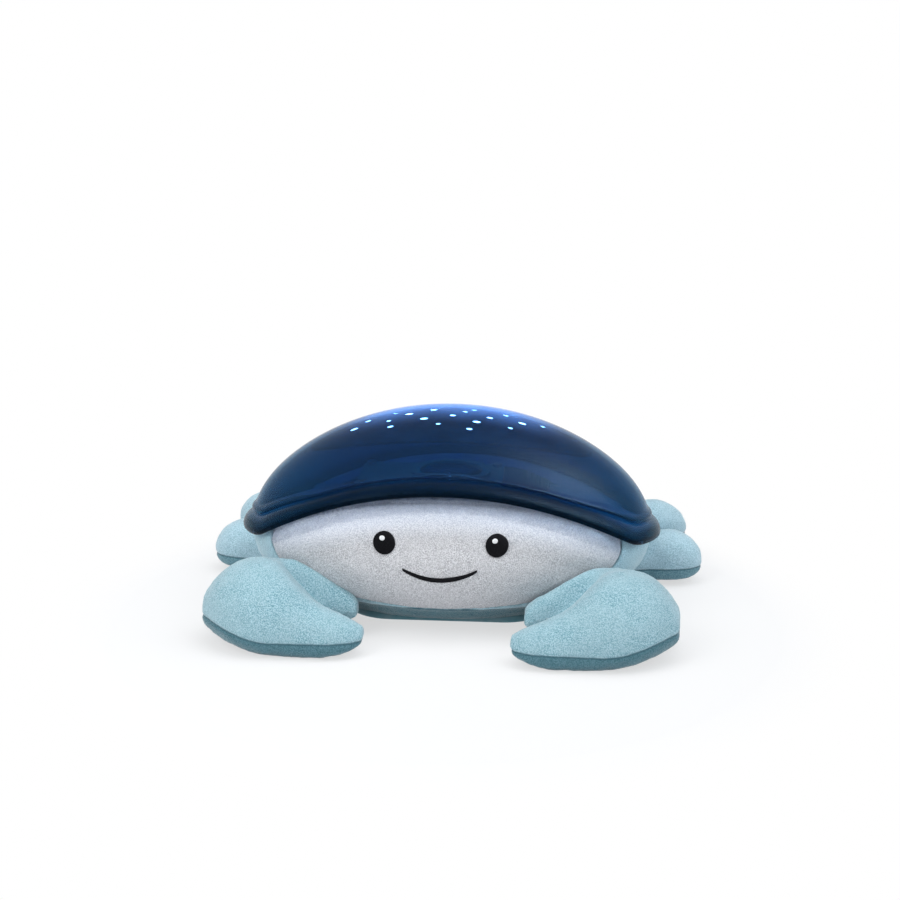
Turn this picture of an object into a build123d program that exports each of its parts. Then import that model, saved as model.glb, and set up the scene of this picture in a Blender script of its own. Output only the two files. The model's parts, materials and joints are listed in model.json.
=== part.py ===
from build123d import *
import math
import os

# A stuffed crab that throws moving water light on the ceiling. A clear domed shell sits on its back
# over the lamp, and a battery tub hangs below the lamp inside the stuffing.
# Lengths are millimetres, angles are degrees. +X is the viewer's right, -Y is the face's side, +Z is up.
# Pieces are modelled about the lamp axis, then moved so that the origin is the middle of the footprint.

# Clearances and cuts that many pieces share
FIT_GAP = 0.3          # between fixed pieces that seat in each other
RUN_GAP = 0.05         # between a pin and the hub that turns on it
SOFT_GAP = 0.4         # between stuffed pieces and their neighbours
CUT_OVERRUN = 5.0      # how far a cutting shape runs past what it cuts

# Clear shell: an ellipsoid above an arched edge that droops to two tips
SHELL_HALF_WIDTH = 124.0
SHELL_HALF_DEPTH = 82.0
SHELL_RISE = 97.5
SHELL_TIP_X = 111.5     # the tips are trimmed upright to this half width
SHELL_TIP_HALF_DEPTH = 100.0
SHELL_CENTRE_Z = 11.5
SHELL_WALL = 2.4
ARCH_CROWN_Z = 69.8
ARCH_TIP_DROP = 46.4
ARCH_TILT = 6.8       # the edge is higher at the face than at the back
LIP_HEIGHT = 13.0
LIP_PROUD = 3.2
PAN_RECESS = 0.8
PAN_THICKNESS = 2.2

# Light mask bonded under the dome, with small see-through windows
MASK_HALF_WIDTH = 76.0
MASK_HALF_DEPTH = 31.0
MASK_THICKNESS = 1.2
WINDOW_COUNT = 26
WINDOW_LENGTH = 4.4
WINDOW_WIDTH = 1.9
WINDOW_SPREAD_SHARE = 0.72
WINDOW_SIZE_SHARES = (0.62, 1.0, 0.78)
GOLDEN_ANGLE = 137.508

# Stuffed body and white face panel
BODY_HALF_WIDTH = 110.0
BODY_HALF_DEPTH = 72.0
BODY_RISE = 40.0
BODY_CENTRE_Z = 38.0
FACE_HALF_WIDTH = 93.0
FACE_HALF_HEIGHT = 28.5
FACE_CENTRE_Z = 44.0
FACE_THICKNESS = 9.0
FACE_PROUD = 1.0

# Embroidery on the face
STITCH_THICKNESS = 0.8
EYE_SPACING = 58.5
EYE_HALF_WIDTH = 6.1
EYE_HALF_HEIGHT = 5.5
EYE_Z = 53.6
SMILE_WIDTH = 39.0
SMILE_END_Z = 41.2
SMILE_TOP_SAG = 4.3
SMILE_THICKNESS = 1.9

# Sections of the stuffed limbs: a crowned top panel over a gusset with a flat sole
SEAM_SHARE = 0.26
SOLE_SHARE = 0.78
GUSSET_OUT_SHARE = 0.95
GUSSET_DOWN_SHARE = 0.42

# Claws, given for the +X side
CLAW_OUTER_X = 124.0
CLAW_LENGTH = 86.0
CLAW_FRONT_Y = -101.0
CLAW_DEPTH = 62.0
CLAW_HEIGHT = 40.0
# Each row: distance from the outer end, middle from the front, half depth, height, lift of the sole
PINCER_SHARES = (
    (0.00, 0.53, 0.13, 0.30, 0.14),
    (0.05, 0.53, 0.27, 0.58, 0.05),
    (0.15, 0.52, 0.40, 0.85, 0.01),
    (0.32, 0.50, 0.49, 1.00, 0.00),
    (0.47, 0.44, 0.44, 0.95, 0.00),
    (0.61, 0.32, 0.31, 0.72, 0.00),
    (0.74, 0.26, 0.25, 0.55, 0.01),
    (0.86, 0.23, 0.20, 0.42, 0.05),
    (0.95, 0.22, 0.14, 0.28, 0.11),
    (1.00, 0.22, 0.07, 0.14, 0.19),
)
THUMB_SHARES = (
    (0.36, 0.70, 0.24, 0.86, 0.06),
    (0.50, 0.71, 0.22, 0.80, 0.10),
    (0.64, 0.70, 0.19, 0.67, 0.15),
    (0.76, 0.67, 0.155, 0.50, 0.19),
    (0.87, 0.64, 0.12, 0.33, 0.23),
    (0.93, 0.62, 0.07, 0.17, 0.28),
)
ARM_ROOT_ANGLE = -30.0
ARM_ROLL_RADIUS = 8.0
ARM_HEIGHT = 24.0
ARM_SWELL_SHARES = (1.0, 1.35, 2.0)
ARM_REACH_SHARE = 0.6

# Legs, given for the +X side
LEG_ROLL_RADIUS = 6.5
LEG_HALF_WIDTH = 11.6
LEG_HEIGHT = 27.0
SIDE_LEG_ROOT_ANGLE = 27.0
SIDE_LEG_HEADING = 10.0
SIDE_LEG_LENGTH = 45.0
SIDE_LEG_LIFT = 3.0
REAR_LEG_ROOT_ANGLE = 42.0
REAR_LEG_HEADING = 30.0
REAR_LEG_LENGTH = 53.0
REAR_LEG_LIFT = 11.0
# Each row: distance from the root, half width, height, lift of the sole
LEG_SHARES = (
    (0.00, 0.50, 0.70, 0.03),
    (0.35, 0.88, 0.96, 0.00),
    (0.62, 1.00, 1.00, 0.00),
    (0.84, 0.86, 0.82, 0.03),
    (0.96, 0.56, 0.50, 0.13),
    (1.00, 0.28, 0.24, 0.24),
)

# Battery tub, its base and its deck
TUB_HALF_LENGTH = 56.0
TUB_HALF_DEPTH = 37.0
TUB_CORNER = 26.0
TUB_WALL = 2.2
TUB_TOP_Z = 46.0
BASE_THICKNESS = 2.5
DECK_THICKNESS = 2.5

# Screws
SCREW_RADIUS = 1.25
SCREW_HOLE_GAP = 0.08
SCREW_HEAD_RADIUS = 2.6
SCREW_HEAD_HEIGHT = 1.6
SCREW_LENGTH = 8.0
SCREW_SINK = 0.4
TUB_SCREW_X = 40.0
TUB_SCREW_Y = 27.0
TUB_BOSS_RADIUS = 5.6
BASE_PAD_RADIUS = 4.5
BASE_PAD_HEIGHT = 2.5

# Cells, their box and door
CELL_RADIUS = 7.25
CELL_BODY_LENGTH = 49.2
CELL_NUB_RADIUS = 2.75
CELL_NUB_LENGTH = 1.0
CELL_COUNT = 3
CELL_PITCH = 14.9
CONTACT_THICKNESS = 0.6
CONTACT_SIZE = 11.0
CONTACT_SPRING_LENGTH = 5.3
CONTACT_SPRING_BASE_RADIUS = 4.2
CONTACT_SPRING_TIP_RADIUS = 2.6
BOX_WALL = 2.4
DOOR_THICKNESS = 1.9
DOOR_LEDGE = 1.2
DOOR_EAR_RADIUS = 5.5
DOOR_BOSS_HEIGHT = 9.0
DOOR_BOSS_RADIUS = 4.0

# Main board
BOARD_HALF_LENGTH = 37.0
BOARD_HALF_DEPTH = 20.0
BOARD_THICKNESS = 1.6
BOARD_GAP_OVER_BOX = 2.4
BOARD_POST_X = 33.6
BOARD_POST_Y = 15.0
BOARD_POST_RADIUS = 2.9
CHIP_SIZE = 9.0
CHIP_HEIGHT = 1.6
CAN_RADIUS = 3.2
CAN_HEIGHT = 7.0
CHIP_PLACE_SHARES = ((-0.10, -0.35), (0.38, 0.30))
CAN_PLACE_SHARES = ((0.62, -0.45), (0.36, -0.50))

# Speaker and its grille slots
SPEAKER_RADIUS = 10.0
SPEAKER_HEIGHT = 6.5
SPEAKER_MAGNET_RADIUS = 6.0
SPEAKER_MAGNET_HEIGHT = 3.0
SPEAKER_X = 42.2
SPEAKER_RING_WALL = 1.2
SPEAKER_RING_HEIGHT = 4.0
GRILLE_SLOTS = 5
GRILLE_SLOT_WIDTH = 1.4
GRILLE_PITCH = 3.2

# Slide switch under the base
SWITCH_X = -42.2
SWITCH_TRAVEL = 4.0
SWITCH_KNOB_LENGTH = 5.0
SWITCH_KNOB_WIDTH = 3.6
SWITCH_PLATE_LENGTH = 9.0
SWITCH_PLATE_WIDTH = 6.4
SWITCH_PLATE_THICKNESS = 1.2
SWITCH_BODY_HEIGHT = 4.4
SWITCH_BODY_LENGTH = 14.0
SWITCH_CHEEK = 1.4
SWITCH_KNOB_SINK = 0.5

# Lamp: board, three diodes and the reflector that carries them under the deck
LAMP_HOLE_RADIUS = 10.0
REFLECTOR_FLANGE_RADIUS = 13.5
REFLECTOR_FLANGE_THICKNESS = 1.6
REFLECTOR_TOP_RADIUS = 9.2
REFLECTOR_THROAT_RADIUS = 4.6
REFLECTOR_DEPTH = 9.0
REFLECTOR_WALL = 1.2
LED_BOARD_RADIUS = 8.0
LED_BOARD_THICKNESS = 1.4
LED_SOCKET_WALL = 1.2
LED_RADIUS = 1.5
LED_HEIGHT = 1.6
LED_CIRCLE = 2.4
LED_COUNT = 3

# Motor and gear train on the deck
GEAR_MODULE = 0.8
GEAR_PRESSURE_ANGLE = 20.0
GEAR_BACKLASH = 0.14
GEAR_TIP_SHARE = 0.94
GEAR_ROOT_SHARE = 1.25
GEAR_FLANK_STEPS = 4
HUB_TEETH = 30
IDLER_SMALL_TEETH = 18
IDLER_LARGE_TEETH = 36
PINION_TEETH = 18
GEAR_FACE = 3.0
GEAR_STEP = 0.6        # air between the two gear planes
GEAR_RISE = 3.0        # air between the deck and the lower gear plane
DISC_X = -17.0
IDLER_HEADING = 125.0
PINION_HEADING = 250.0
DISC_RADIUS = 31.0
DISC_THICKNESS = 2.2
DISC_RIDGE = 0.7
DISC_RIDGE_COUNT = 5
DISC_LIFT = 1.4         # air between the idler and the disc over it
HUB_FOOT_RADIUS = 3.4
HUB_NECK_RADIUS = 6.0
HUB_NECK_HEIGHT = 2.0
SPINDLE_RADIUS = 2.0
IDLER_PIN_RADIUS = 1.5
CLIP_RADIUS = 3.8
CLIP_THICKNESS = 0.8
MOTOR_RADIUS = 7.6
MOTOR_LENGTH = 20.0
MOTOR_SHAFT_RADIUS = 1.0
MOTOR_BOSS_RADIUS = 2.6
MOTOR_BOSS_HEIGHT = 1.2
MOTOR_SCREW_CIRCLE = 4.9

# Bridge over the disc, with the ripple lens
BRIDGE_LEFT_X = -46.0
BRIDGE_RIGHT_X = 24.0
BRIDGE_POST_Y = 21.0
BRIDGE_POST_RADIUS = 2.6
BRIDGE_THICKNESS = 2.4
BRIDGE_CLEARANCE = 3.0
BRIDGE_RIM = 4.0
LENS_RADIUS = 18.0
LENS_SEAT = 2.0
LENS_EDGE = 2.0
LENS_CROWN = 3.2
LENS_RING_WALL = 1.6
LENS_RING_HEIGHT = 3.4
LENS_RING_LIP = 0.9
LENS_RING_AIR = 0.6

# Control pod at the back
POD_HALF_LENGTH = 36.0
POD_HEIGHT = 17.0
POD_BOTTOM_Z = 26.0
POD_REAR_Y = 70.0
POD_WALL = 1.8
POD_CORNER = 4.0
BUTTON_COUNT = 4
BUTTON_PITCH = 16.0
BUTTON_RADIUS = 5.2
BUTTON_PROUD = 1.8
BUTTON_TRAVEL = 1.0
BUTTON_FLANGE = 1.2
BUTTON_FLANGE_THICKNESS = 1.2
BUTTON_BOARD_THICKNESS = 1.4
TACT_SIZE = 6.0
TACT_HEIGHT = 3.4

# Heights and places that follow from the sizes above
ARCH_RADIUS = (SHELL_HALF_WIDTH**2 + ARCH_TIP_DROP**2) / (2 * ARCH_TIP_DROP)
ARCH_FALL = math.tan(math.radians(ARCH_TILT))
DECK_TOP_Z = TUB_TOP_Z + DECK_THICKNESS
DOOR_TOP_Z = BASE_THICKNESS - FIT_GAP
CELL_Z = BASE_THICKNESS + FIT_GAP + CELL_RADIUS
CELL_RUN = CELL_BODY_LENGTH + CELL_NUB_LENGTH + CONTACT_SPRING_LENGTH
BOX_HALF_LENGTH = CELL_RUN / 2 + CONTACT_THICKNESS + FIT_GAP
BOX_HALF_DEPTH = CELL_PITCH * (CELL_COUNT - 1) / 2 + CELL_RADIUS + FIT_GAP
BOX_CEILING_Z = CELL_Z + CELL_RADIUS + FIT_GAP
BOARD_Z = BOX_CEILING_Z + BOX_WALL + BOARD_GAP_OVER_BOX
DOOR_SCREW_Y = -(BOX_HALF_DEPTH + BOX_WALL + SCREW_HEAD_RADIUS + FIT_GAP)
GEAR_LOW_Z = DECK_TOP_Z + GEAR_RISE
GEAR_HIGH_Z = GEAR_LOW_Z + GEAR_FACE + GEAR_STEP
DISC_Z = GEAR_HIGH_Z + GEAR_FACE + DISC_LIFT
SPINDLE_TOP_Z = DISC_Z + DISC_THICKNESS + HUB_NECK_HEIGHT + CLIP_THICKNESS + 2 * FIT_GAP
BRIDGE_Z = SPINDLE_TOP_Z + BRIDGE_CLEARANCE
DISC_CENTRE = (DISC_X, 0)
HUB_TO_IDLER = GEAR_MODULE * (HUB_TEETH + IDLER_SMALL_TEETH) / 2
IDLER_TO_PINION = GEAR_MODULE * (IDLER_LARGE_TEETH + PINION_TEETH) / 2
REFLECTOR_BOTTOM_Z = TUB_TOP_Z - REFLECTOR_DEPTH
BUTTON_SEAT_Y = POD_REAR_Y - POD_WALL
BUTTON_BACK_Y = BUTTON_SEAT_Y - FIT_GAP - BUTTON_FLANGE_THICKNESS
BUTTON_BOARD_Y = BUTTON_BACK_Y - BUTTON_TRAVEL - FIT_GAP - TACT_HEIGHT - BUTTON_BOARD_THICKNESS
BUTTON_Z = POD_BOTTOM_Z + POD_HEIGHT / 2
TUB_SCREWS = [(x, y) for x in (-TUB_SCREW_X, TUB_SCREW_X) for y in (-TUB_SCREW_Y, TUB_SCREW_Y)]
BOARD_SCREWS = [(x, y) for x in (-BOARD_POST_X, BOARD_POST_X) for y in (-BOARD_POST_Y, BOARD_POST_Y)]
BRIDGE_POSTS = [(x, y) for x in (BRIDGE_LEFT_X, BRIDGE_RIGHT_X) for y in (-BRIDGE_POST_Y, BRIDGE_POST_Y)]


def step_from(place, distance, heading):
    angle = math.radians(heading)
    return (place[0] + distance * math.cos(angle), place[1] + distance * math.sin(angle))


IDLER_CENTRE = step_from(DISC_CENTRE, HUB_TO_IDLER, IDLER_HEADING)
PINION_CENTRE = step_from(IDLER_CENTRE, IDLER_TO_PINION, PINION_HEADING)


# Shared shapes
def drum(radius, bottom, top, place=(0, 0)):
    """An upright cylinder between two heights."""
    return Pos(place[0], place[1], (bottom + top) / 2) * Cylinder(radius, top - bottom)


def block(x_span, y_span, z_span):
    """A box between two limits on each axis."""
    spans = (x_span, y_span, z_span)
    middle = [(low + high) / 2 for low, high in spans]
    return Pos(*middle) * Box(*[high - low for low, high in spans])


def prism(sketch, bottom, top):
    """A flat outline raised between two heights."""
    return extrude(Pos(0, 0, bottom) * sketch, amount=top - bottom)


def tub_outline(grow=0.0):
    return RectangleRounded(2 * (TUB_HALF_LENGTH + grow), 2 * (TUB_HALF_DEPTH + grow), TUB_CORNER + grow)


def ellipsoid(half_width, half_depth, half_height, centre_z):
    return Pos(0, 0, centre_z) * scale(Sphere(1), by=(half_width, half_depth, half_height))


def shell_form(grow):
    whole = ellipsoid(SHELL_HALF_WIDTH + grow, SHELL_HALF_DEPTH + grow, SHELL_RISE + grow, SHELL_CENTRE_Z)
    tips = Ellipse(SHELL_TIP_X + grow, SHELL_TIP_HALF_DEPTH + grow)
    return whole & prism(tips, -SHELL_RISE, SHELL_CENTRE_Z + SHELL_RISE + CUT_OVERRUN)


def body_form(grow):
    return ellipsoid(BODY_HALF_WIDTH + grow, BODY_HALF_DEPTH + grow, BODY_RISE + grow, BODY_CENTRE_Z)


def under_arch(lift):
    """All that lies below the arched surface of the shell's edge, raised by lift."""
    reach = SHELL_HALF_WIDTH + LIP_PROUD + CUT_OVERRUN
    half_run = SHELL_HALF_DEPTH + LIP_PROUD + CUT_OVERRUN
    floor = -(SHELL_RISE + CUT_OVERRUN)
    crown = ARCH_CROWN_Z + lift
    end = crown - ARCH_RADIUS + math.sqrt(ARCH_RADIUS**2 - reach**2)
    outline = Polyline((reach, end), (reach, floor), (-reach, floor), (-reach, end))
    outline += ThreePointArc((-reach, end), (0, crown), (reach, end))
    face = Pos(0, -half_run, half_run * ARCH_FALL) * (Plane.XZ * make_face(outline))
    return extrude(face, amount=2 * half_run * math.hypot(1, ARCH_FALL), dir=(0, 1, -ARCH_FALL))


def above_floor():
    """All of the space over the floor that the part can reach."""
    reach = CLAW_OUTER_X + CLAW_LENGTH
    return block((-reach, reach), (-reach, reach), (0, reach))


def screw(place, seat_z, points_up):
    """A pan head screw whose head rests on seat_z."""
    sign = 1 if points_up else -1
    ends = sorted((seat_z, seat_z + sign * SCREW_LENGTH))
    head = sorted((seat_z, seat_z - sign * SCREW_HEAD_HEIGHT))
    return drum(SCREW_RADIUS, *ends, place) + drum(SCREW_HEAD_RADIUS, *head, place)


def gear_blank(teeth, phase, bottom, place):
    """An involute spur gear of one face width, with a tooth pointing along phase."""
    pitch = GEAR_MODULE * teeth / 2
    pressure = math.radians(GEAR_PRESSURE_ANGLE)
    base = pitch * math.cos(pressure)
    root = pitch - GEAR_ROOT_SHARE * GEAR_MODULE
    tip = pitch + GEAR_TIP_SHARE * GEAR_MODULE
    half_at_pitch = math.pi / (2 * teeth) - GEAR_BACKLASH / (2 * pitch)

    def half_angle(radius):
        local = math.acos(min(1.0, base / max(radius, base)))
        involute = math.tan(pressure) - pressure - (math.tan(local) - local)
        return half_at_pitch + involute

    start = max(base, root)
    radii = [start + (tip - start) * k / GEAR_FLANK_STEPS for k in range(GEAR_FLANK_STEPS + 1)]
    if root < base:
        radii = [root] + radii
    points = []
    for tooth in range(teeth):
        middle = math.radians(phase) + 2 * math.pi * tooth / teeth
        flank = [(r, middle - half_angle(r)) for r in radii]
        flank += [(r, middle + half_angle(r)) for r in reversed(radii)]
        points += [(r * math.cos(a), r * math.sin(a)) for r, a in flank]
    outline = make_face(Polyline(*points, close=True))
    return Pos(place[0], place[1], 0) * prism(outline, bottom, bottom + GEAR_FACE)


def half_tooth(teeth):
    return 180.0 / teeth


# Clear shell, its dark pan and the light mask
def shell_dome():
    dome = shell_form(0.0) - under_arch(LIP_HEIGHT / 2)
    lip = (shell_form(LIP_PROUD) & under_arch(LIP_HEIGHT)) - under_arch(0.0)
    return dome + lip - shell_form(-SHELL_WALL)


def shell_pan():
    top = under_arch(PAN_RECESS + PAN_THICKNESS)
    plate = (shell_form(-SHELL_WALL - FIT_GAP) & top) - under_arch(PAN_RECESS)
    ceiling = ARCH_CROWN_Z + SHELL_RISE
    collar = prism(tub_outline(), DECK_TOP_Z, ceiling) & top
    return plate + collar - prism(tub_outline(-TUB_WALL), DECK_TOP_Z - CUT_OVERRUN, ceiling)


def window_outlines(grow):
    """Small pointed ovals in a sunflower layout over the mask's middle."""
    ovals = []
    for index in range(WINDOW_COUNT):
        out = math.sqrt((index + 0.5) / WINDOW_COUNT) * WINDOW_SPREAD_SHARE
        angle = math.radians(index * GOLDEN_ANGLE)
        size = WINDOW_SIZE_SHARES[index % len(WINDOW_SIZE_SHARES)]
        length = WINDOW_LENGTH * size / 2 + grow
        width = WINDOW_WIDTH * size / 2 + grow
        ends = (-length, 0), (length, 0)
        near = ThreePointArc(ends[0], (0, width), ends[1])
        far = ThreePointArc(ends[1], (0, -width), ends[0])
        oval = make_face([near, far])
        place = Pos(MASK_HALF_WIDTH * out * math.cos(angle), MASK_HALF_DEPTH * out * math.sin(angle), 0)
        ovals.append(place * oval)
    return ovals


def mask_skin():
    outer = shell_form(-SHELL_WALL - FIT_GAP)
    region = prism(Ellipse(MASK_HALF_WIDTH, MASK_HALF_DEPTH), SHELL_CENTRE_Z, SHELL_CENTRE_Z + SHELL_RISE)
    return (outer - shell_form(-SHELL_WALL - FIT_GAP - MASK_THICKNESS)) & region


def light_mask():
    cuts = [prism(oval, SHELL_CENTRE_Z, SHELL_CENTRE_Z + SHELL_RISE) for oval in window_outlines(0.0)]
    return mask_skin() - cuts


def mask_windows():
    skin = mask_skin()
    top = SHELL_CENTRE_Z + SHELL_RISE
    pieces = [prism(oval, SHELL_CENTRE_Z, top) & skin for oval in window_outlines(-RUN_GAP)]
    return Compound([piece.solid() for piece in pieces])


# Stuffed body, face and embroidery
def face_prism(grow):
    oval = Plane.XZ * Pos(0, FACE_CENTRE_Z) * Ellipse(FACE_HALF_WIDTH + grow, FACE_HALF_HEIGHT + grow)
    return extrude(oval, amount=BODY_HALF_DEPTH + CUT_OVERRUN)


def face_panel():
    padding = body_form(FACE_PROUD) - body_form(FACE_PROUD - FACE_THICKNESS)
    return (padding & face_prism(0.0) & under_arch(-SOFT_GAP)) - tub_pocket()


def tub_pocket():
    return prism(tub_outline(SOFT_GAP), -CUT_OVERRUN, ARCH_CROWN_Z + SHELL_RISE)


def plush_body():
    whole = body_form(0.0) & under_arch(-SOFT_GAP) & above_floor()
    face_seat = face_prism(SOFT_GAP) - body_form(FACE_PROUD - FACE_THICKNESS - SOFT_GAP)
    half_length = POD_HALF_LENGTH + SOFT_GAP
    notch = block(
        (-half_length, half_length),
        (0, POD_REAR_Y + CUT_OVERRUN),
        (POD_BOTTOM_Z - SOFT_GAP, POD_BOTTOM_Z + POD_HEIGHT + SOFT_GAP),
    )
    return whole - face_seat - tub_pocket() - notch


def stitching(outline):
    """A pad of thread over part of the face, from an outline drawn on the front."""
    skin = body_form(FACE_PROUD + STITCH_THICKNESS) - body_form(FACE_PROUD + RUN_GAP)
    return skin & extrude(Plane.XZ * outline, amount=BODY_HALF_DEPTH + CUT_OVERRUN)


def eye(side):
    return stitching(Pos(side * EYE_SPACING / 2, EYE_Z) * Ellipse(EYE_HALF_WIDTH, EYE_HALF_HEIGHT))


def smile():
    left = (-SMILE_WIDTH / 2, SMILE_END_Z)
    right = (SMILE_WIDTH / 2, SMILE_END_Z)
    top = (0, SMILE_END_Z - SMILE_TOP_SAG)
    bottom = (0, SMILE_END_Z - SMILE_TOP_SAG - SMILE_THICKNESS)
    return stitching(make_face([ThreePointArc(left, top, right), ThreePointArc(right, bottom, left)]))


# Stuffed limbs
def pillow(plane, half_width, height):
    """A stuffed section standing on its plane's origin: crowned top, seam, gusset and flat sole."""
    seam = height * SEAM_SHARE
    sole = half_width * SOLE_SHARE
    edge = half_width * GUSSET_OUT_SHARE
    low = seam * GUSSET_DOWN_SHARE
    return plane * make_face([
        ThreePointArc((-half_width, seam), (0, height), (half_width, seam)),
        ThreePointArc((half_width, seam), (edge, low), (sole, 0)),
        Line((sole, 0), (-sole, 0)),
        ThreePointArc((-sole, 0), (-edge, low), (-half_width, seam)),
    ])


def across_x(x, y, z=0.0):
    return Plane(origin=(x, y, z), x_dir=(0, 1, 0), z_dir=(1, 0, 0))


def limb_root(angle, top, roll_radius):
    """The upright hinge line of a limb that is sewn to the body's side, in the lamp's frame."""
    level = math.sqrt(1 - ((top - BODY_CENTRE_Z) / BODY_RISE) ** 2)
    half_width, half_depth = BODY_HALF_WIDTH * level, BODY_HALF_DEPTH * level
    around = math.radians(angle)
    normal = Vector(math.cos(around) / half_width, math.sin(around) / half_depth).normalized()
    on_body = Vector(half_width * math.cos(around), half_depth * math.sin(around))
    return on_body + normal * (roll_radius + SOFT_GAP)


def claw_finger(shares):
    return loft([
        pillow(
            across_x(CLAW_OUTER_X - out * CLAW_LENGTH, CLAW_FRONT_Y + middle * CLAW_DEPTH, lift * CLAW_HEIGHT),
            half * CLAW_DEPTH,
            high * CLAW_HEIGHT,
        )
        for out, middle, half, high, lift in shares
    ])


def claw():
    root = limb_root(ARM_ROOT_ANGLE, ARM_HEIGHT, ARM_ROLL_RADIUS)
    palm_y = CLAW_FRONT_Y + ARM_REACH_SHARE * CLAW_DEPTH
    stations = len(ARM_SWELL_SHARES)

    def across_arm(share):
        middle = (root.X, root.Y + (palm_y - root.Y) * share, 0)
        return Plane(origin=middle, x_dir=(1, 0, 0), z_dir=(0, -1, 0))

    arm = loft([
        pillow(
            across_arm(k / (stations - 1)),
            ARM_ROLL_RADIUS * swell,
            ARM_HEIGHT + (CLAW_HEIGHT - ARM_HEIGHT) * k / stations,
        )
        for k, swell in enumerate(ARM_SWELL_SHARES)
    ])
    roll = drum(ARM_ROLL_RADIUS, 0, ARM_HEIGHT, (root.X, root.Y))
    whole = claw_finger(PINCER_SHARES) + claw_finger(THUMB_SHARES) + arm + roll
    return whole - body_form(FACE_PROUD + SOFT_GAP)


def leg_root(angle, lift):
    return limb_root(angle, lift + LEG_HEIGHT * LEG_SHARES[0][2], LEG_ROLL_RADIUS)


def leg(angle, heading, length, lift):
    root = leg_root(angle, lift)
    lobe = loft([
        pillow(across_x(out * length, 0, rise * LEG_HEIGHT), half * LEG_HALF_WIDTH, high * LEG_HEIGHT)
        for out, half, high, rise in LEG_SHARES
    ])
    lobe += drum(LEG_ROLL_RADIUS, 0, LEG_HEIGHT * LEG_SHARES[0][2])
    return Pos(root.X, root.Y, lift) * Rot(0, 0, heading) * lobe - body_form(SOFT_GAP)


def other_side(shape):
    return mirror(shape, about=Plane.YZ)


# Battery tub, base, door and what they hold
def battery_tub():
    inside = prism(tub_outline(-TUB_WALL), 0, TUB_TOP_Z + CUT_OVERRUN)
    tub = prism(tub_outline(), BASE_THICKNESS, TUB_TOP_Z) - inside
    for place in TUB_SCREWS:
        column = drum(TUB_BOSS_RADIUS, BASE_THICKNESS + BASE_PAD_HEIGHT, TUB_TOP_Z, place)
        tub += column & prism(tub_outline(-TUB_WALL / 2), 0, TUB_TOP_Z)
    for place in TUB_SCREWS:
        tub -= drum(SCREW_RADIUS + SCREW_HOLE_GAP, 0, TUB_TOP_Z + CUT_OVERRUN, place)
    return tub


def box_outline(grow):
    return Rectangle(2 * (BOX_HALF_LENGTH + grow), 2 * (BOX_HALF_DEPTH + grow))


def door_outline(grow):
    panel = box_outline(DOOR_LEDGE + grow)
    return panel + Pos(0, DOOR_SCREW_Y) * Circle(DOOR_EAR_RADIUS + grow)


def base_cover():
    cover = prism(tub_outline(), 0, BASE_THICKNESS)
    cover += prism(box_outline(BOX_WALL), BASE_THICKNESS, BOX_CEILING_Z + BOX_WALL)
    cover += drum(DOOR_BOSS_RADIUS, BASE_THICKNESS, BASE_THICKNESS + DOOR_BOSS_HEIGHT, (0, DOOR_SCREW_Y))
    for place in TUB_SCREWS:
        cover += drum(BASE_PAD_RADIUS, BASE_THICKNESS, BASE_THICKNESS + BASE_PAD_HEIGHT - RUN_GAP, place)
    for place in BOARD_SCREWS:
        cover += drum(BOARD_POST_RADIUS, BASE_THICKNESS, BOARD_Z, place)
    ring = SPEAKER_RADIUS + FIT_GAP
    ring_top = BASE_THICKNESS + SPEAKER_RING_HEIGHT
    cover += drum(ring + SPEAKER_RING_WALL, BASE_THICKNESS, ring_top, (SPEAKER_X, 0))
    cheek_top = BASE_THICKNESS + SWITCH_PLATE_THICKNESS + SWITCH_BODY_HEIGHT + FIT_GAP
    cheek_in = SWITCH_PLATE_WIDTH / 2 + FIT_GAP
    cheek_span = (SWITCH_X - SWITCH_BODY_LENGTH / 2, SWITCH_X + SWITCH_BODY_LENGTH / 2)
    for side in (-1, 1):
        y_span = sorted((side * cheek_in, side * (cheek_in + SWITCH_CHEEK)))
        cover += block(cheek_span, y_span, (BASE_THICKNESS, cheek_top))
    cover -= prism(box_outline(0.0), -CUT_OVERRUN, BOX_CEILING_Z)
    cover -= prism(door_outline(FIT_GAP), -CUT_OVERRUN, BASE_THICKNESS)
    hole_top = BASE_THICKNESS + DOOR_BOSS_HEIGHT - SCREW_SINK
    cover -= drum(SCREW_RADIUS + SCREW_HOLE_GAP, 0, hole_top, (0, DOOR_SCREW_Y))
    cover -= drum(ring, BASE_THICKNESS, BASE_THICKNESS + SPEAKER_RING_HEIGHT + CUT_OVERRUN, (SPEAKER_X, 0))
    for slot in range(GRILLE_SLOTS):
        y = (slot - (GRILLE_SLOTS - 1) / 2) * GRILLE_PITCH
        half = math.sqrt((SPEAKER_RADIUS - GRILLE_PITCH) ** 2 - y**2)
        slot_shape = Pos(SPEAKER_X, y) * SlotOverall(2 * half, GRILLE_SLOT_WIDTH)
        cover -= prism(slot_shape, -CUT_OVERRUN, BASE_THICKNESS + CUT_OVERRUN)
    slot_length = SWITCH_KNOB_LENGTH + SWITCH_TRAVEL + 2 * FIT_GAP
    slot_width = SWITCH_KNOB_WIDTH + 2 * FIT_GAP
    switch_slot = Pos(SWITCH_X, 0) * Rectangle(slot_length, slot_width)
    cover -= prism(switch_slot, -CUT_OVERRUN, BASE_THICKNESS + CUT_OVERRUN)
    for place in TUB_SCREWS:
        cover -= drum(SCREW_RADIUS + FIT_GAP, -CUT_OVERRUN, BASE_THICKNESS + BASE_PAD_HEIGHT, place)
        cover -= drum(SCREW_HEAD_RADIUS + FIT_GAP, -CUT_OVERRUN, SCREW_SINK + SCREW_HEAD_HEIGHT, place)
    for place in BOARD_SCREWS:
        cover -= drum(SCREW_RADIUS + SCREW_HOLE_GAP, BOARD_Z - SCREW_LENGTH, BOARD_Z + CUT_OVERRUN, place)
    return cover


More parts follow.
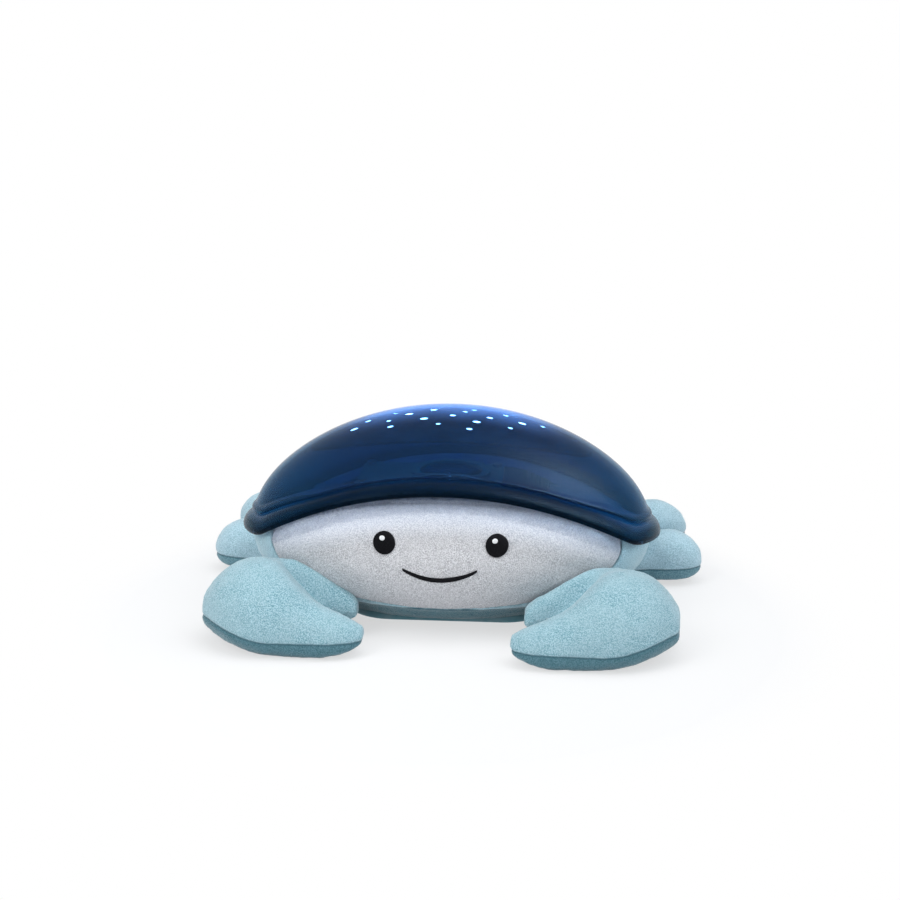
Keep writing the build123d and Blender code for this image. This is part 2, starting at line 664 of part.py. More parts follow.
def battery_door():
    door = prism(door_outline(0.0), DOOR_TOP_Z - DOOR_THICKNESS, DOOR_TOP_Z)
    seat = DOOR_TOP_Z - DOOR_THICKNESS + SCREW_HEAD_HEIGHT / 2
    door -= drum(SCREW_RADIUS + RUN_GAP, 0, BASE_THICKNESS, (0, DOOR_SCREW_Y))
    return door - drum(SCREW_HEAD_RADIUS + RUN_GAP, 0, seat, (0, DOOR_SCREW_Y))


def door_screw():
    seat = DOOR_TOP_Z - DOOR_THICKNESS + SCREW_HEAD_HEIGHT / 2
    shank = drum(SCREW_RADIUS, seat, seat + SCREW_LENGTH, (0, DOOR_SCREW_Y))
    return shank + drum(SCREW_HEAD_RADIUS, DOOR_TOP_Z - DOOR_THICKNESS, seat, (0, DOOR_SCREW_Y))


def cell_rows():
    """The middle of each cell's row and which way its plus end points."""
    first = -(CELL_COUNT - 1) / 2
    return [((first + row) * CELL_PITCH, 1 if row % 2 == 0 else -1) for row in range(CELL_COUNT)]


def along_x(radius, start, end, y, end_radius=None):
    """A round bar or cone along X at the cells' height, from start to end."""
    middle = Pos((start + end) / 2, y, CELL_Z)
    if end_radius is None:
        return middle * Rot(0, 90, 0) * Cylinder(radius, abs(end - start))
    turn = 90 if end > start else -90
    return middle * Rot(0, turn, 0) * Cone(radius, end_radius, abs(end - start))


def battery_cells():
    cells = []
    for y, sign in cell_rows():
        nub_end = sign * (BOX_HALF_LENGTH - CONTACT_THICKNESS - RUN_GAP)
        shoulder = nub_end - sign * CELL_NUB_LENGTH
        cell = along_x(CELL_RADIUS, shoulder, shoulder - sign * CELL_BODY_LENGTH, y)
        cells.append(cell + along_x(CELL_NUB_RADIUS, nub_end, shoulder, y))
    return Compound([cell.solid() for cell in cells])


def contact_plates():
    plates = []
    for y, _ in cell_rows():
        for side in (-1, 1):
            x_span = sorted((side * BOX_HALF_LENGTH, side * (BOX_HALF_LENGTH - CONTACT_THICKNESS)))
            half = CONTACT_SIZE / 2
            plates.append(block(x_span, (y - half, y + half), (CELL_Z - half, CELL_Z + half)))
    return Compound([plate.solid() for plate in plates])


def contact_springs():
    springs = []
    for y, sign in cell_rows():
        seat = -sign * (BOX_HALF_LENGTH - CONTACT_THICKNESS)
        tip = seat + sign * CONTACT_SPRING_LENGTH
        springs.append(along_x(CONTACT_SPRING_BASE_RADIUS, seat, tip, y, CONTACT_SPRING_TIP_RADIUS))
    return Compound([spring.solid() for spring in springs])


def main_board():
    board = prism(Rectangle(2 * BOARD_HALF_LENGTH, 2 * BOARD_HALF_DEPTH), BOARD_Z, BOARD_Z + BOARD_THICKNESS)
    for place in BOARD_SCREWS:
        board -= drum(SCREW_RADIUS + FIT_GAP, BOARD_Z - CUT_OVERRUN, BOARD_Z + CUT_OVERRUN, place)
    return board


def board_parts():
    top = BOARD_Z + BOARD_THICKNESS
    pieces = []
    for across, along in CHIP_PLACE_SHARES:
        place = Pos(across * BOARD_HALF_LENGTH, along * BOARD_HALF_DEPTH)
        pieces.append(prism(place * Rectangle(CHIP_SIZE, CHIP_SIZE), top, top + CHIP_HEIGHT))
    for across, along in CAN_PLACE_SHARES:
        place = (across * BOARD_HALF_LENGTH, along * BOARD_HALF_DEPTH)
        pieces.append(drum(CAN_RADIUS, top, top + CAN_HEIGHT, place))
    return Compound([piece.solid() for piece in pieces])


def speaker():
    bottom = BASE_THICKNESS + RUN_GAP
    top = bottom + SPEAKER_HEIGHT - SPEAKER_MAGNET_HEIGHT
    basket = drum(SPEAKER_RADIUS, bottom, top, (SPEAKER_X, 0))
    return basket + drum(SPEAKER_MAGNET_RADIUS, top, top + SPEAKER_MAGNET_HEIGHT, (SPEAKER_X, 0))


def switch_start_x():
    return SWITCH_X - SWITCH_TRAVEL / 2


def switch_knob():
    bottom = BASE_THICKNESS + RUN_GAP
    place = Pos(switch_start_x(), 0)
    knob = prism(place * Rectangle(SWITCH_KNOB_LENGTH, SWITCH_KNOB_WIDTH), SWITCH_KNOB_SINK, bottom)
    plate = place * Rectangle(SWITCH_PLATE_LENGTH, SWITCH_PLATE_WIDTH)
    return knob + prism(plate, bottom, bottom + SWITCH_PLATE_THICKNESS)


def switch_body():
    bottom = BASE_THICKNESS + SWITCH_PLATE_THICKNESS + FIT_GAP
    outline = Pos(SWITCH_X, 0) * Rectangle(SWITCH_BODY_LENGTH, SWITCH_PLATE_WIDTH)
    return prism(outline, bottom, bottom + SWITCH_BODY_HEIGHT)


def screw_set(places, seat_z, points_up):
    return Compound([screw(place, seat_z, points_up).solid() for place in places])


# Lamp, deck, motor and gear train
def optics_deck():
    deck = prism(tub_outline(), TUB_TOP_Z, DECK_TOP_Z)
    for place in BRIDGE_POSTS:
        deck += drum(BRIDGE_POST_RADIUS, DECK_TOP_Z, BRIDGE_Z, place)
    cuts = [
        (LAMP_HOLE_RADIUS, (0, 0)),
        (SPINDLE_RADIUS + RUN_GAP, DISC_CENTRE),
        (IDLER_PIN_RADIUS + RUN_GAP, IDLER_CENTRE),
        (MOTOR_BOSS_RADIUS + FIT_GAP, PINION_CENTRE),
    ]
    cuts += [(SCREW_RADIUS + FIT_GAP, place) for place in TUB_SCREWS + motor_screw_places()]
    for radius, place in cuts:
        deck -= drum(radius, TUB_TOP_Z - CUT_OVERRUN, DECK_TOP_Z + CUT_OVERRUN, place)
    for place in BRIDGE_POSTS:
        deck -= drum(SCREW_RADIUS + SCREW_HOLE_GAP, BRIDGE_Z - SCREW_LENGTH, BRIDGE_Z + CUT_OVERRUN, place)
    return deck


def reflector_cup():
    top = TUB_TOP_Z - RUN_GAP
    bottom = REFLECTOR_BOTTOM_Z
    depth = top - bottom
    middle = Pos(0, 0, (top + bottom) / 2)
    cup = middle * Cone(REFLECTOR_THROAT_RADIUS + REFLECTOR_WALL, REFLECTOR_TOP_RADIUS + REFLECTOR_WALL, depth)
    cup += drum(REFLECTOR_FLANGE_RADIUS, top - REFLECTOR_FLANGE_THICKNESS, top)
    socket = LED_BOARD_RADIUS + FIT_GAP
    cup += drum(socket + LED_SOCKET_WALL, bottom - LED_BOARD_THICKNESS, bottom + REFLECTOR_WALL)
    cup -= middle * Cone(REFLECTOR_THROAT_RADIUS, REFLECTOR_TOP_RADIUS, depth)
    return cup - drum(socket, bottom - LED_BOARD_THICKNESS - CUT_OVERRUN, bottom)


def led_board():
    top = REFLECTOR_BOTTOM_Z - RUN_GAP
    return drum(LED_BOARD_RADIUS, top - LED_BOARD_THICKNESS, top)


def led_emitters():
    bottom = REFLECTOR_BOTTOM_Z - RUN_GAP
    leds = []
    for index in range(LED_COUNT):
        place = step_from((0, 0), LED_CIRCLE, 360 * index / LED_COUNT)
        dome = Pos(place[0], place[1], bottom + LED_HEIGHT / 2) * Sphere(LED_RADIUS)
        body = drum(LED_RADIUS, bottom, bottom + LED_HEIGHT / 2, place) + dome
        leds.append(body & drum(LED_RADIUS, bottom, bottom + LED_HEIGHT / 2 + LED_RADIUS, place))
    return Compound([led.solid() for led in leds])


def motor_screw_places():
    return [step_from(PINION_CENTRE, MOTOR_SCREW_CIRCLE, angle) for angle in (0, 180)]


def motor():
    top = TUB_TOP_Z - RUN_GAP
    can = drum(MOTOR_RADIUS, top - MOTOR_LENGTH, top, PINION_CENTRE)
    can += drum(MOTOR_BOSS_RADIUS, top, top + MOTOR_BOSS_HEIGHT, PINION_CENTRE)
    can -= drum(MOTOR_SHAFT_RADIUS + RUN_GAP, top - MOTOR_LENGTH / 2, top + CUT_OVERRUN, PINION_CENTRE)
    for place in motor_screw_places():
        hole_bottom = DECK_TOP_Z - SCREW_LENGTH - FIT_GAP
        can -= drum(SCREW_RADIUS + SCREW_HOLE_GAP, hole_bottom, top + CUT_OVERRUN, place)
    return can


def motor_shaft():
    bottom = TUB_TOP_Z - MOTOR_LENGTH / 2 + RUN_GAP
    return drum(MOTOR_SHAFT_RADIUS, bottom, GEAR_LOW_Z + GEAR_FACE + RUN_GAP, PINION_CENTRE)


def motor_pinion():
    phase = PINION_HEADING + 180 + half_tooth(PINION_TEETH)
    gear = gear_blank(PINION_TEETH, phase, GEAR_LOW_Z, PINION_CENTRE)
    return gear - drum(MOTOR_SHAFT_RADIUS, GEAR_LOW_Z - CUT_OVERRUN, GEAR_LOW_Z + CUT_OVERRUN, PINION_CENTRE)


def idler_gear():
    large = gear_blank(IDLER_LARGE_TEETH, PINION_HEADING, GEAR_LOW_Z, IDLER_CENTRE)
    phase = IDLER_HEADING + 180 + half_tooth(IDLER_SMALL_TEETH)
    small = gear_blank(IDLER_SMALL_TEETH, phase, GEAR_HIGH_Z, IDLER_CENTRE)
    root = GEAR_MODULE * (IDLER_SMALL_TEETH / 2 - GEAR_ROOT_SHARE)
    neck = drum(root, GEAR_LOW_Z + GEAR_FACE, GEAR_HIGH_Z, IDLER_CENTRE)
    foot = drum(IDLER_PIN_RADIUS * 2, DECK_TOP_Z + RUN_GAP, GEAR_LOW_Z, IDLER_CENTRE)
    bore = drum(IDLER_PIN_RADIUS + RUN_GAP, DECK_TOP_Z, GEAR_HIGH_Z + GEAR_FACE + CUT_OVERRUN, IDLER_CENTRE)
    return large + small + neck + foot - bore


def idler_pin():
    return drum(IDLER_PIN_RADIUS, TUB_TOP_Z, DISC_Z - DISC_LIFT / 2, IDLER_CENTRE)


def disc_gear():
    gear = gear_blank(HUB_TEETH, IDLER_HEADING, GEAR_HIGH_Z, DISC_CENTRE)
    foot = drum(HUB_FOOT_RADIUS, DECK_TOP_Z + RUN_GAP, GEAR_HIGH_Z, DISC_CENTRE)
    neck_top = DISC_Z + DISC_THICKNESS + HUB_NECK_HEIGHT
    neck = drum(HUB_NECK_RADIUS, GEAR_HIGH_Z + GEAR_FACE, neck_top, DISC_CENTRE)
    return gear + foot + neck - drum(SPINDLE_RADIUS + RUN_GAP, 0, SPINDLE_TOP_Z + CUT_OVERRUN, DISC_CENTRE)


def ripple_disc():
    """A clear disc whose round ridges bend the light as it turns."""
    disc = drum(DISC_RADIUS, DISC_Z, DISC_Z + DISC_THICKNESS - DISC_RIDGE, DISC_CENTRE)
    pitch = (DISC_RADIUS - HUB_NECK_RADIUS) / (2 * DISC_RIDGE_COUNT)
    for ridge in range(DISC_RIDGE_COUNT):
        outer = DISC_RADIUS - 2 * ridge * pitch
        ring = drum(outer, DISC_Z, DISC_Z + DISC_THICKNESS, DISC_CENTRE)
        disc += ring - drum(outer - pitch, 0, BRIDGE_Z, DISC_CENTRE)
    return disc - drum(HUB_NECK_RADIUS + RUN_GAP, 0, BRIDGE_Z, DISC_CENTRE)


def disc_spindle():
    return drum(SPINDLE_RADIUS, TUB_TOP_Z, SPINDLE_TOP_Z, DISC_CENTRE)


def spindle_clip():
    bottom = DISC_Z + DISC_THICKNESS + HUB_NECK_HEIGHT + FIT_GAP
    clip = drum(CLIP_RADIUS, bottom, bottom + CLIP_THICKNESS, DISC_CENTRE)
    return clip - drum(SPINDLE_RADIUS + RUN_GAP, 0, BRIDGE_Z, DISC_CENTRE)


def lens_bridge():
    half_depth = BRIDGE_POST_Y + BRIDGE_RIM
    middle = (BRIDGE_LEFT_X + BRIDGE_RIGHT_X) / 2
    length = BRIDGE_RIGHT_X - BRIDGE_LEFT_X + 2 * BRIDGE_RIM
    top = BRIDGE_Z + BRIDGE_THICKNESS
    bridge = prism(Pos(middle, 0) * RectangleRounded(length, 2 * half_depth, BRIDGE_RIM), BRIDGE_Z, top)
    bridge += drum(LENS_RADIUS + FIT_GAP + LENS_RING_WALL, BRIDGE_Z, top + LENS_EDGE)
    bridge -= drum(LENS_RADIUS - LENS_SEAT, BRIDGE_Z - CUT_OVERRUN, top + CUT_OVERRUN)
    bridge -= drum(LENS_RADIUS + FIT_GAP, top, top + LENS_EDGE + CUT_OVERRUN)
    for place in BRIDGE_POSTS:
        bridge -= drum(SCREW_RADIUS + FIT_GAP, BRIDGE_Z - CUT_OVERRUN, top + CUT_OVERRUN, place)
    return bridge


def ripple_lens():
    bottom = BRIDGE_Z + BRIDGE_THICKNESS + RUN_GAP
    ball_radius = (LENS_RADIUS**2 + LENS_CROWN**2) / (2 * LENS_CROWN)
    edge_top = bottom + LENS_EDGE
    ball = Pos(0, 0, edge_top + LENS_CROWN - ball_radius) * Sphere(ball_radius)
    return drum(LENS_RADIUS, bottom, edge_top + LENS_CROWN) & ball


def lens_ring():
    """A push-on ring that keeps the lens in its seat."""
    seat = BRIDGE_Z + BRIDGE_THICKNESS + LENS_EDGE
    wall = LENS_RADIUS + FIT_GAP + LENS_RING_WALL
    half_ring = LENS_RING_HEIGHT / 2
    ring = drum(wall + RUN_GAP + LENS_RING_WALL, seat + RUN_GAP - half_ring, seat + half_ring)
    ring -= drum(wall + RUN_GAP, 0, seat + RUN_GAP)
    ring -= drum(LENS_RADIUS - LENS_RING_LIP, 0, seat + LENS_RING_HEIGHT)
    return ring - drum(LENS_RADIUS + FIT_GAP, 0, seat + RUN_GAP + LENS_RING_AIR)


# Control pod and its buttons
def pod_block(shrink, front_y, rear_y):
    outline = RectangleRounded(2 * (POD_HALF_LENGTH - shrink), POD_HEIGHT - 2 * shrink, POD_CORNER - shrink)
    face = Pos(0, rear_y, BUTTON_Z) * (Plane.XZ * outline)
    return extrude(face, amount=rear_y - front_y)


def button_xs():
    first = -(BUTTON_COUNT - 1) / 2
    return [(first + index) * BUTTON_PITCH for index in range(BUTTON_COUNT)]


def along_y(radius, start, end, x):
    return Pos(x, (start + end) / 2, BUTTON_Z) * Rot(90, 0, 0) * Cylinder(radius, end - start)


def control_pod():
    front = TUB_HALF_DEPTH + RUN_GAP
    pod = pod_block(0.0, front, POD_REAR_Y) - pod_block(POD_WALL, front - CUT_OVERRUN, BUTTON_SEAT_Y)
    for x in button_xs():
        pod -= along_y(BUTTON_RADIUS + FIT_GAP, BUTTON_SEAT_Y - CUT_OVERRUN, POD_REAR_Y + CUT_OVERRUN, x)
    return pod


def button_board():
    return pod_block(POD_WALL + FIT_GAP, BUTTON_BOARD_Y, BUTTON_BOARD_Y + BUTTON_BOARD_THICKNESS)


def tact_switches():
    bottom = BUTTON_BOARD_Y + BUTTON_BOARD_THICKNESS
    half = TACT_SIZE / 2
    pieces = [
        block((x - half, x + half), (bottom, bottom + TACT_HEIGHT), (BUTTON_Z - half, BUTTON_Z + half))
        for x in button_xs()
    ]
    return Compound([piece.solid() for piece in pieces])


def button(x):
    flange_end = BUTTON_BACK_Y + BUTTON_FLANGE_THICKNESS
    cap = along_y(BUTTON_RADIUS, BUTTON_BACK_Y, POD_REAR_Y + BUTTON_PROUD, x)
    cap = fillet(cap.edges().sort_by(Axis.Y)[-1], BUTTON_PROUD / 2)
    return cap + along_y(BUTTON_RADIUS + BUTTON_FLANGE, BUTTON_BACK_Y, flange_end, x)


def all_nodes():
    right_claw = claw()
    side_leg = leg(SIDE_LEG_ROOT_ANGLE, SIDE_LEG_HEADING, SIDE_LEG_LENGTH, SIDE_LEG_LIFT)
    rear_leg = leg(REAR_LEG_ROOT_ANGLE, REAR_LEG_HEADING, REAR_LEG_LENGTH, REAR_LEG_LIFT)
    button_names = ("volume_up_button", "volume_down_button", "sound_button", "lamp_button")
    nodes = {
        "shell_dome": shell_dome(),
        "shell_pan": shell_pan(),
        "light_mask": light_mask(),
        "mask_windows": mask_windows(),
        "plush_body": plush_body(),
        "face_panel": face_panel(),
        "left_eye": eye(-1),
        "right_eye": eye(1),
        "smile": smile(),
        "left_claw": other_side(right_claw),
        "right_claw": right_claw,
        "left_side_leg": other_side(side_leg),
        "right_side_leg": side_leg,
        "left_rear_leg": other_side(rear_leg),
        "right_rear_leg": rear_leg,
        "battery_tub": battery_tub(),
        "base_cover": base_cover(),
        "base_screws": screw_set(TUB_SCREWS, SCREW_SINK + SCREW_HEAD_HEIGHT, True),
        "battery_door": battery_door(),
        "door_screw": door_screw(),
        "battery_cells": battery_cells(),
        "contact_plates": contact_plates(),
        "contact_springs": contact_springs(),
        "main_board": main_board(),
        "board_parts": board_parts(),
        "board_screws": screw_set(BOARD_SCREWS, BOARD_Z + BOARD_THICKNESS, False),
        "speaker": speaker(),
        "switch_knob": switch_knob(),
        "switch_body": switch_body(),
        "optics_deck": optics_deck(),
        "deck_screws": screw_set(TUB_SCREWS, DECK_TOP_Z, False),
        "reflector_cup": reflector_cup(),
        "led_board": led_board(),
        "led_emitters": led_emitters(),
        "motor": motor(),
        "motor_screws": screw_set(motor_screw_places(), DECK_TOP_Z, False),
        "motor_shaft": motor_shaft(),
        "motor_pinion": motor_pinion(),
        "idler_gear": idler_gear(),
        "idler_pin": idler_pin(),
        "disc_gear": disc_gear(),
        "ripple_disc": ripple_disc(),
        "disc_spindle": disc_spindle(),
        "spindle_clip": spindle_clip(),
        "lens_bridge": lens_bridge(),
        "bridge_screws": screw_set(BRIDGE_POSTS, BRIDGE_Z + BRIDGE_THICKNESS, False),
        "ripple_lens": ripple_lens(),
        "lens_ring": lens_ring(),
        "control_pod": control_pod(),
        "button_board": button_board(),
        "tact_switches": tact_switches(),
    }
    for name, x in zip(button_names, button_xs()):
        nodes[name] = button(x)
    return nodes


def footprint_shift(nodes):
    """How far back the pieces move so that the origin is the middle of the part's depth."""
    boxes = [shape.bounding_box() for shape in nodes.values()]
    return -(min(box.min.Y for box in boxes) + max(box.max.Y for box in boxes)) / 2


os.makedirs("parts", exist_ok=True)
built = all_nodes()
shift = footprint_shift(built)
print("lamp axis at Y", round(shift, 4))
for name, shape in built.items():
    export_step(Pos(0, shift, 0) * shape, f"parts/{name}.step")
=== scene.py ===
import json
import math
import bpy
import numpy as np
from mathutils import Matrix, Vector


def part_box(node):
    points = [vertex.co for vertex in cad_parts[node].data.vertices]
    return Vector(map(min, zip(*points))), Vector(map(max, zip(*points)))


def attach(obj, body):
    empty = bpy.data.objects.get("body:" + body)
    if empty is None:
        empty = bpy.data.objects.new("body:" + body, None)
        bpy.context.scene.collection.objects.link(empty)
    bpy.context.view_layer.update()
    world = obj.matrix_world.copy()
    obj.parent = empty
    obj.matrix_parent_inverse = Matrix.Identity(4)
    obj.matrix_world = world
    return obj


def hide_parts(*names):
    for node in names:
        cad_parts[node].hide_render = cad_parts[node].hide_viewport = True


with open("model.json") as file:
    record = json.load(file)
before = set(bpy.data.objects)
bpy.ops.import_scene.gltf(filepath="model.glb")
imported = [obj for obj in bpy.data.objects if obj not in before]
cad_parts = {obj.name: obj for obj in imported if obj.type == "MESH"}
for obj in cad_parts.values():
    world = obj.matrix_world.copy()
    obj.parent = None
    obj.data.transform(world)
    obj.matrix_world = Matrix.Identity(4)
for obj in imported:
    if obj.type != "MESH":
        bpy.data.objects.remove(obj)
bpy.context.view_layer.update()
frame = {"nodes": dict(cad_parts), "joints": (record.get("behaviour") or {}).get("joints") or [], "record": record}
scene = bpy.context.scene
slotOfNode = {row["node"]: row["material_slot"] for row in frame["record"]["subparts"]}
mm = 0.001
tiny = 1e-6  # keeps a division off zero
lampY = sum(corner.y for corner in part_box("reflector_cup")) / 2  # shell and body are centred on the lamp's axis
print("frame loaded, lamp axis at", round(lampY, 5))


# picking and shaping

def pick(piece):
    bpy.ops.object.select_all(action="DESELECT")
    piece.select_set(True)
    bpy.context.view_layer.objects.active = piece


def readPoints(piece, what="co"):
    points = np.empty(len(piece.data.vertices) * 3)
    piece.data.vertices.foreach_get(what, points)
    return points.reshape(-1, 3)


def readNormals(piece):
    return readPoints(piece, "normal")


def writePoints(piece, points):
    piece.data.vertices.foreach_set("co", np.ascontiguousarray(points).ravel())
    piece.data.update()


def addModifier(piece, kind, **settings):
    pick(piece)
    bpy.ops.object.modifier_add(type=kind)
    modifier = piece.modifiers[-1]
    for name, value in settings.items():
        setattr(modifier, name, value)
    bpy.ops.object.modifier_apply(modifier=modifier.name)


def smoothShade(piece):
    pick(piece)
    bpy.ops.object.shade_smooth()


def startPiece(name):
    piece = bpy.context.object
    piece.name = name
    piece.data.name = name
    return piece


def cleanMesh(piece, merge=0.0, faceOut=True):
    pick(piece)
    bpy.ops.object.mode_set(mode="EDIT")
    bpy.ops.mesh.select_all(action="SELECT")
    if merge:
        bpy.ops.mesh.remove_doubles(threshold=merge)
    if faceOut:
        bpy.ops.mesh.normals_make_consistent(inside=False)
    bpy.ops.object.mode_set(mode="OBJECT")


def copyOfNode(node, name):
    piece = bpy.data.objects.new(name, frame["nodes"][node].data.copy())
    scene.collection.objects.link(piece)
    piece.data.materials.clear()
    cleanMesh(piece, merge=0.002 * mm, faceOut=False)  # loose triangles that already face outwards
    return piece


def ramp(value, low, high):
    share = np.clip((value - low) / (high - low), 0, 1)
    return share * share * (3 - 2 * share)


# shader wiring

class Wire:
    def __init__(self, finish, socket):
        self.finish = finish
        self.socket = socket

    def math(self, operation, *others):
        values = {0: self}
        for place, other in enumerate(others):
            values[place + 1] = other
        return self.finish.node("ShaderNodeMath", {"operation": operation}, values)

    def __add__(self, other):
        return self.math("ADD", other)

    def __radd__(self, other):
        return self.math("ADD", other)

    def __sub__(self, other):
        return self.math("SUBTRACT", other)

    def __rsub__(self, other):
        return self.finish.node("ShaderNodeMath", {"operation": "SUBTRACT"}, {0: other, 1: self})

    def __mul__(self, other):
        return self.math("MULTIPLY", other)

    def __rmul__(self, other):
        return self.math("MULTIPLY", other)

    def __pow__(self, other):
        return self.math("POWER", other)

    def between(self, low, high):
        return self.finish.node("ShaderNodeMapRange", {"interpolation_type": "SMOOTHSTEP"},
                                {"Value": self, "From Min": low, "From Max": high})


mixSockets = {"factor": 0, "first": 6, "second": 7, "result": 2}  # a Mix node's sockets for colours


class Finish:
    def __init__(self, name, **constants):
        self.material = bpy.data.materials.new(name)
        self.material.use_nodes = True
        self.tree = self.material.node_tree
        self.shader = self.tree.nodes["Principled BSDF"]
        for socket, value in constants.items():
            self.put(socket.replace("_", " "), value)

    def feed(self, target, value):
        if isinstance(value, Wire):
            self.tree.links.new(value.socket, target)
        elif target.type == "RGBA":
            target.default_value = (*value, 1)
        else:
            target.default_value = value

    def put(self, socket, value):
        self.feed(self.shader.inputs[socket], value)

    def node(self, kind, settings=None, values=None, out=0):
        made = self.tree.nodes.new(kind)
        for name, value in (settings or {}).items():
            setattr(made, name, value)
        for name, value in (values or {}).items():
            self.feed(made.inputs[name], value)
        return Wire(self, made.outputs[out])

    def place(self):
        return self.node("ShaderNodeTexCoord", out="Object")

    def axes(self):
        parts = self.node("ShaderNodeSeparateXYZ", None, {0: self.place()}).socket.node.outputs
        return [Wire(self, part) for part in parts]

    def grain(self, size, detail=2.0, roughness=0.5, stretch=None):
        where = self.place()
        if stretch:
            where = self.node("ShaderNodeMapping", None, {"Vector": where, "Scale": stretch})
        return self.node("ShaderNodeTexNoise", None, {"Vector": where, "Scale": 1 / size,
                                                      "Detail": detail, "Roughness": roughness})

    def blend(self, factor, first, second):
        m = mixSockets
        return self.node("ShaderNodeMix", {"data_type": "RGBA"},
                         {m["factor"]: factor, m["first"]: first, m["second"]: second}, m["result"])

    def bump(self, height, depth, strength):
        normal = self.node("ShaderNodeBump", None, {"Height": height, "Distance": depth, "Strength": strength})
        self.put("Normal", normal)


def dress(piece, finish):
    piece.data.materials.clear()
    piece.data.materials.append(finish.material)


# cloth finishes

plushValues = {"roughness": 0.92, "sheenRoughness": 0.35, "specular": 0.12, "tipRoughness": 0.6,
               "speckle": (0.34, 0.66), "patches": (0.32, 0.7), "patchBump": 0.6, "bump": 0.75,
               "wanderSize": 4 * mm, "wander": 0.5 * mm,  # a sewn edge is never quite straight
               "edgeSoft": (-0.5 * mm, 0.3 * mm), "creaseHalf": (0.15 * mm, 0.8 * mm), "seamShadeShare": 0.75,
               "domeLightShare": 0.75, "domeLightBow": 2.6}


def plushFinish(name, values):
    p = plushValues
    finish = Finish(name, Roughness=p["roughness"], Sheen_Weight=values["sheen"], Sheen_Tint=values["sheenTint"],
                    Sheen_Roughness=p["sheenRoughness"], Specular_IOR_Level=p["specular"])
    tips = finish.grain(values["napSize"], 1.0, p["tipRoughness"])
    patches = finish.grain(values["patchSize"])
    speckle = tips.between(*p["speckle"])
    colour = finish.blend(speckle, values["deep"], values["pale"])
    colour = finish.blend(patches.between(*p["patches"]) * values["patchShare"], colour, values["patch"])
    x, _, z = finish.axes()
    # the band below the seam is darker: partly the lower panel's own darker teal, partly painted shade on the
    # underside
    if "gussetBelow" in values:
        edge = values["gussetBelow"]
        wander = (finish.grain(p["wanderSize"], 1.0) - 0.5) * p["wander"]
        if "gussetRise" in values:
            outer = x.math("ABSOLUTE").between(values["riseFrom"], values["riseTo"])
            wander = wander - outer * values["gussetRise"]
        softFrom, softTo = p["edgeSoft"]
        low = 1 - (z + wander).between(edge + softFrom, edge + softTo)
        colour = finish.blend(low, colour, finish.blend(speckle, values["gussetToneAndShadeDeep"], values["gussetToneAndShadePale"]))
        # painted shade: a dark line along the seam, where the crease falls in shade
        seamShade = 1 - (z + wander - edge).math("ABSOLUTE").between(*p["creaseHalf"])
        colour = finish.blend(seamShade * p["seamShadeShare"], colour, values["seamShade"])
    # painted light: the top of the face is made paler and bluer, standing in for the dome's blue light and lifting
    # the shade under the shell's lip
    if "paintedDomeLight" in values:
        high = (z + x * x * p["domeLightBow"]).between(values["domeLightFrom"], values["domeLightTo"])
        domeLightColour = finish.blend(speckle, values["paintedDomeLight"], values["paintedDomeLightPale"])
        colour = finish.blend(high * p["domeLightShare"], colour, domeLightColour)
    finish.put("Base Color", colour)
    finish.bump(tips + patches * p["patchBump"], values["napDepth"], p["bump"])
    return finish


plushWhite = plushFinish("plushWhite", {
    "napSize": 0.55 * mm, "patchSize": 9 * mm, "napDepth": 0.6 * mm, "sheen": 0.35, "sheenTint": (1, 1, 1),
    "deep": (0.38, 0.38, 0.40), "pale": (0.76, 0.76, 0.78), "patch": (0.62, 0.62, 0.64), "patchShare": 0.3,
    # the top colours are painted light from the dome
    "paintedDomeLight": (0.66, 0.73, 0.88), "paintedDomeLightPale": (0.86, 0.91, 1.0), "domeLightFrom": 54 * mm, "domeLightTo": 72 * mm})

aquaTones = {"napSize": 0.55 * mm, "patchSize": 11 * mm, "napDepth": 0.6 * mm, "sheen": 0.75,
             "sheenTint": (0.9, 0.97, 1.0), "deep": (0.15, 0.33, 0.40), "pale": (0.46, 0.66, 0.73),
             # the gusset colours are partly the fabric's own darker teal, partly painted shade
             "patch": (0.42, 0.60, 0.66), "patchShare": 0.35, "gussetToneAndShadeDeep": (0.06, 0.15, 0.185),
             # the seam colour is painted shade along the crease
             "gussetToneAndShadePale": (0.13, 0.26, 0.31), "seamShade": (0.035, 0.11, 0.14)}
legTones = {**aquaTones, "deep": (0.27, 0.47, 0.55), "pale": (0.58, 0.77, 0.86), "patch": (0.50, 0.68, 0.77),
            "gussetToneAndShadeDeep": (0.10, 0.22, 0.27), "gussetToneAndShadePale": (0.22, 0.38, 0.44)}
bodyTones = {**aquaTones, "deep": (0.34, 0.54, 0.62), "pale": (0.58, 0.79, 0.87)}
plushClaw = plushFinish("plushClaw", {**aquaTones, "gussetBelow": 8.6 * mm, "gussetRise": 7 * mm,
                                      "riseFrom": 84 * mm, "riseTo": 124 * mm})
plushSideLeg = plushFinish("plushSideLeg", {**legTones, "gussetBelow": 10.0 * mm})
plushRearLeg = plushFinish("plushRearLeg", {**legTones, "gussetBelow": 18.0 * mm})
plushBody = plushFinish("plushBody", {**bodyTones, "gussetBelow": 14.0 * mm})

threadValues = {"roughness": 0.7, "specular": 0.08, "strand": 0.35 * mm, "stretch": (1, 1, 0.25),
                "tones": (0.3, 0.75), "depth": 0.08 * mm, "bump": 0.6}


def threadFinish(name, colour, pale):
    t = threadValues
    finish = Finish(name, Roughness=t["roughness"], Specular_IOR_Level=t["specular"])
    strand = finish.grain(t["strand"], 1.0, stretch=t["stretch"])
    finish.put("Base Color", finish.blend(strand.between(*t["tones"]), colour, pale))
    finish.bump(strand, t["depth"], t["bump"])
    return finish


threadBlack = threadFinish("threadBlack", (0.002, 0.002, 0.003), (0.009, 0.009, 0.011))
threadWhite = threadFinish("threadWhite", (0.75, 0.76, 0.78), (0.95, 0.95, 0.95))
print("cloth finishes made")


